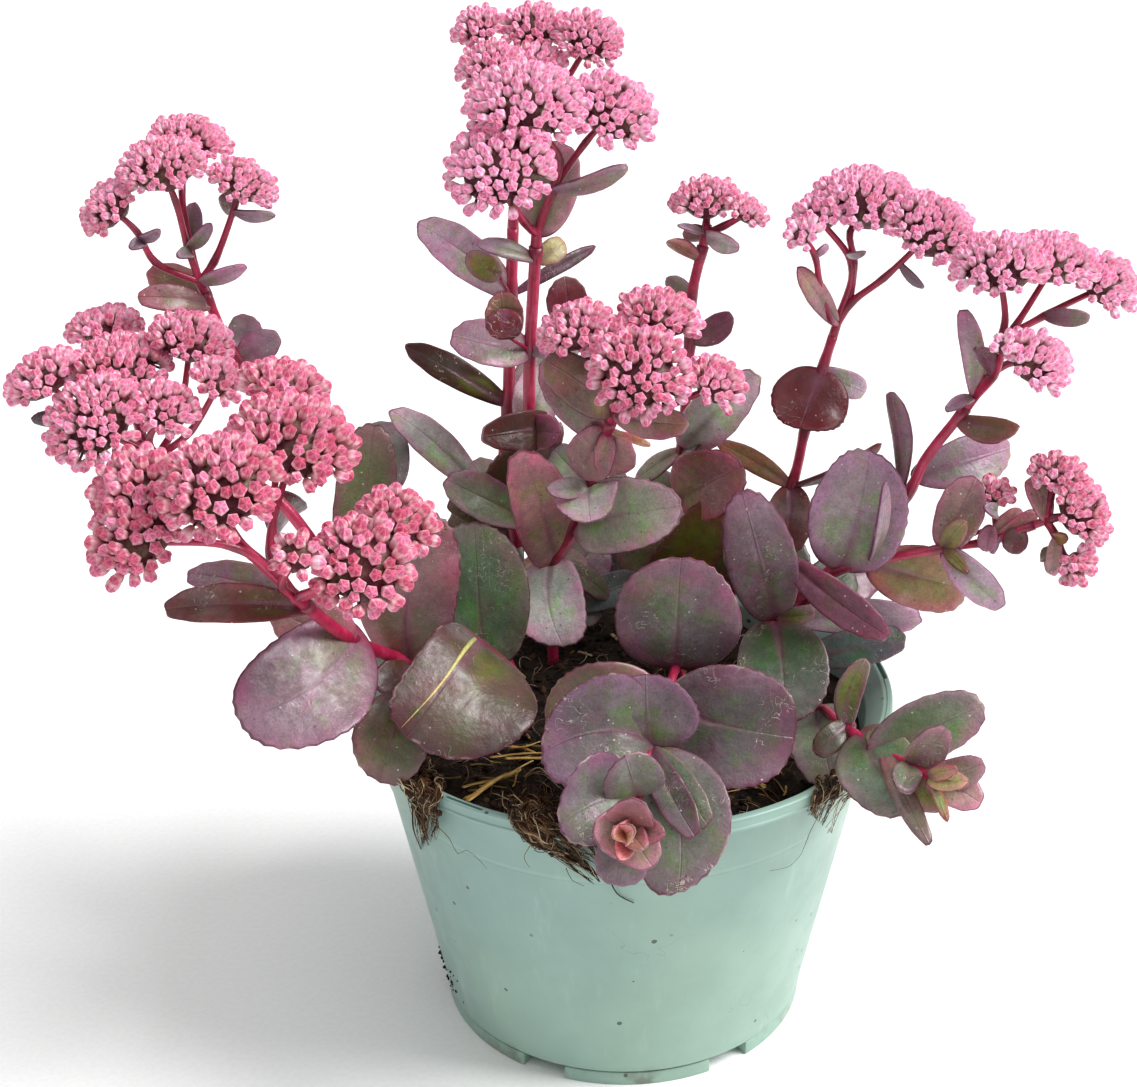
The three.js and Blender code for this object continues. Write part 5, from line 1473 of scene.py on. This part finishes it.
# One domed cluster: buds on pedicels that spring from branchlets, round a dark middle.
def addDome(bm, limb, size, hueAndLight, chance):
    centre, radius, normal = limb["centre"], limb["radius"] - size * bud["inset"], limb["lean"].normalized()
    first = at(1, 0, 0).cross(normal).normalized()
    first.rotate(turned(chance.random() * math.pi, normal, 3))
    second = normal.cross(first)
    tall, reach, fullArc = radius * bud["tall"], radius * bud["arc"], math.radians(bud["turn"])

    # The turn from the top at which each share of the dome's surface lies above it.
    areas, total = [], 0
    for i in range(60):
        angle = fullArc * (i + 0.5) / 60
        total += math.sin(angle) * math.hypot(math.cos(angle), bud["tall"] * math.sin(angle))
        areas.append(total)

    def ringAt(share):
        return (bisect.bisect_left(areas, share * total) + 0.5) / 60

    def surface(x, y):
        angle, heading = math.hypot(x, y) * fullArc, math.atan2(y, x)
        outward = first * math.cos(heading) + second * math.sin(heading)
        place = centre + normal * (math.cos(angle) * tall) + outward * (math.sin(angle) * radius)
        slope = normal * (math.cos(angle) / tall) + outward * (math.sin(angle) / radius)
        return place, slope.normalized()

    twigs = max(4, round(bud["twigs"] * (radius / 18) ** 1.3))
    roots = []
    for i in range(twigs):
        out, turn = ringAt((i + 0.5) / twigs) * 0.94, i * goldenTurn + chance.uniform(-0.3, 0.3)
        roots.append((out * math.cos(turn), out * math.sin(turn)))
    nodes = [centre.lerp(surface(*root)[0], 0.5) for root in roots]
    for node in nodes:
        addStick(bm, centre - normal * (radius * 0.3), node, bud["twig"])
    core = newMesh(*plantLayers)
    bmesh.ops.create_uvsphere(core, u_segments=14, v_segments=8, radius=1)
    axes = Matrix((first, second, normal)).transposed().to_4x4()
    fit = Matrix.Diagonal((radius * bud["core"], radius * bud["core"], tall * bud["core"], 1))
    bmesh.ops.transform(core, matrix=moved(centre, axes, fit), verts=core.verts)
    for vert in core.verts:
        vert.co += noise.noise_vector(vert.co * 0.4) * 1.2
    merge(bm, core, 3)
    count = round(math.pi * reach * reach * bud["turn"] / 88 / (size * size * bud["spread"]))
    for i in range(count):
        out, turn = ringAt((i + 0.5) / count), i * goldenTurn + chance.uniform(-0.12, 0.12)
        x, y = out * math.cos(turn), out * math.sin(turn)
        nearest = min(range(twigs), key=lambda k: math.hypot(x - roots[k][0], y - roots[k][1]))
        x, y = lerp(x, roots[nearest][0], bud["pull"]), lerp(y, roots[nearest][1], bud["pull"])
        place, slope = surface(x, y)
        wander = Vector([chance.uniform(-1, 1) for _ in range(3)]) * bud["jitter"]
        away = (place - nodes[nearest]).normalized()
        heading = (slope * 0.72 + away * 0.12 + normal * 0.16 + wander).normalized()
        wide = size * chance.uniform(*bud["sizes"])
        length = wide * bud["long"] * chance.uniform(0.92, 1.1)
        foot = place - heading * (length * bud["sink"]) + slope * chance.uniform(-0.9, 0.9)
        # Each bud's tone scatters round the head's tone, which is partly colour and partly painted light.
        tone = min(bud["tones"] - 1, max(0, round(chance.gauss(hueAndLight, 0.2) * (bud["tones"] - 1))))
        stamp(bm, budShapes[tone], foot, heading, wide, length, chance.uniform(0, 1.26))
        addStick(bm, nodes[nearest], foot + heading * 0.4, bud["pedicel"])


def makeHead(row):
    chance = random.Random(row["name"])
    bm = newMesh(*plantLayers)
    parent = next(item for item in shoots if item["name"] == row["stem"])
    end, thick = parent["stem"], stem["topRadius"] * parent["thick"]
    heading = (end[-1] - end[-2]).normalized()
    neck = end[-1] + heading * bud["neck"]
    path = curveThrough([end[-1] - heading * 1.2, neck, neck + heading * 1.5], 2.5)
    radii = [lerp(thick, thick * 0.8, i / len(path)) for i in range(len(path))]
    merge(bm, tubePart(plantLayers, path, radii, stem["sides"], [0.3] * len(path)), 1)
    ways = []
    for number, limb in enumerate(row["limbs"]):
        stalk = limb["centre"] - limb["lean"].normalized() * limb["radius"] * 0.15
        points = [neck - heading * 2, *limb["way"], stalk]
        path = curveThrough(points, 2.6)
        ways += path
        shades = nodeShade(path, points[1:-1], 4)
        swell = [1 + 0.2 * shade for shade in shades]
        radii = [bud["limb"] * (1 - 0.3 * i / len(path)) * swell[i] for i in range(len(path))]
        merge(bm, tubePart(plantLayers, path, radii, 8, [shade * 0.8 + 0.2 for shade in shades]), 1)
        for item in row["leaves"]:
            if item["node"][0] == number:
                merge(bm, leafPart(points[item["node"][1]], item, chance), 0)
        addDome(bm, limb, row["budSize"], row["budHueAndLight"], chance)
    for *place, wide, tint in row["bracts"]:
        item = grow(0, place, wide, tint, turn=30, cup=0.5)
        tip = item["tip"]
        base = min(ways, key=lambda point: (point - tip).length + (0 if point.z < tip.z else 4))
        merge(bm, leafPart(base, item, chance), 0)
    materials = [leafMaterial, stemMaterial, budMaterial, twigMaterial]
    finishPiece(row["name"] + "_buds", bm, materials, row["name"])


# Build
makePot()
makePeat()
for order, row in enumerate(rootMats):
    makeRootMat(row, order)
for make, rows in ((makeStraw, straws), (makeShoot, shoots), (makeHead, heads)):
    for row in rows:
        make(row)
for mesh in (*budShapes, stickShape, scratch):
    bpy.data.meshes.remove(mesh)


# Floor, light and camera
studio = dict(floor=6.0, world=0.35, key=3.5, keyAngle=30, top=1.0, topAngle=70, sensor=36, clip=(0.05, 20))


def makeFloor():
    bm = newMesh()
    bmesh.ops.create_grid(bm, x_segments=1, y_segments=1, size=studio["floor"] / 2)
    floor = newObject("floor", bm)
    grain = noiseAt(newMaterial("floorPaper", Specular_IOR_Level=0.1), 500, 2)
    colour = blend(remap(grain, 0.3, 0.7), rgb(250, 250, 250), rgb(255, 255, 255))
    floor.data.materials.append(wire(colour, remap(grain, 0.3, 0.7, 0.9, 0.8)))


def addObject(name, data):
    made = bpy.data.objects.new(name, data)
    bpy.context.scene.collection.objects.link(made)
    return made


# A soft far light from this direction; angle is how wide its source looks, in degrees.
def addLight(name, direction, power, angle):
    data = bpy.data.lights.new(name, "SUN")
    data.energy, data.angle = power, math.radians(angle)
    lamp = addObject(name, data)
    lamp.location = direction * 2
    lamp.rotation_euler = direction.to_track_quat("Z", "Y").to_euler()


def makeCamera():
    data = bpy.data.cameras.new("camera")
    data.sensor_width = studio["sensor"]
    data.lens = photo["focal"] * data.sensor_width / photo["width"]
    data.clip_start, data.clip_end = studio["clip"]
    camera = addObject("camera", data)
    axes = Matrix((viewAcross, -viewDown, -viewForward)).transposed().to_4x4()
    camera.matrix_world = moved(eye * toMetres, axes)
    bpy.context.scene.camera = camera


def makeSky():
    world = bpy.data.worlds.new("softSky")
    world.use_nodes = True
    sky = world.node_tree.nodes["Background"].inputs
    sky["Color"].default_value, sky["Strength"].default_value = (1, 1, 1, 1), studio["world"]
    bpy.context.scene.world = world
    bpy.context.scene.view_settings.view_transform = "Standard"


makeFloor()
addLight("keyLight", at(1.0, -0.12, 0.95), studio["key"], studio["keyAngle"])
addLight("topLight", at(-0.15, -0.1, 1.0), studio["top"], studio["topAngle"])
makeSky()
makeCamera()
print("stage set")
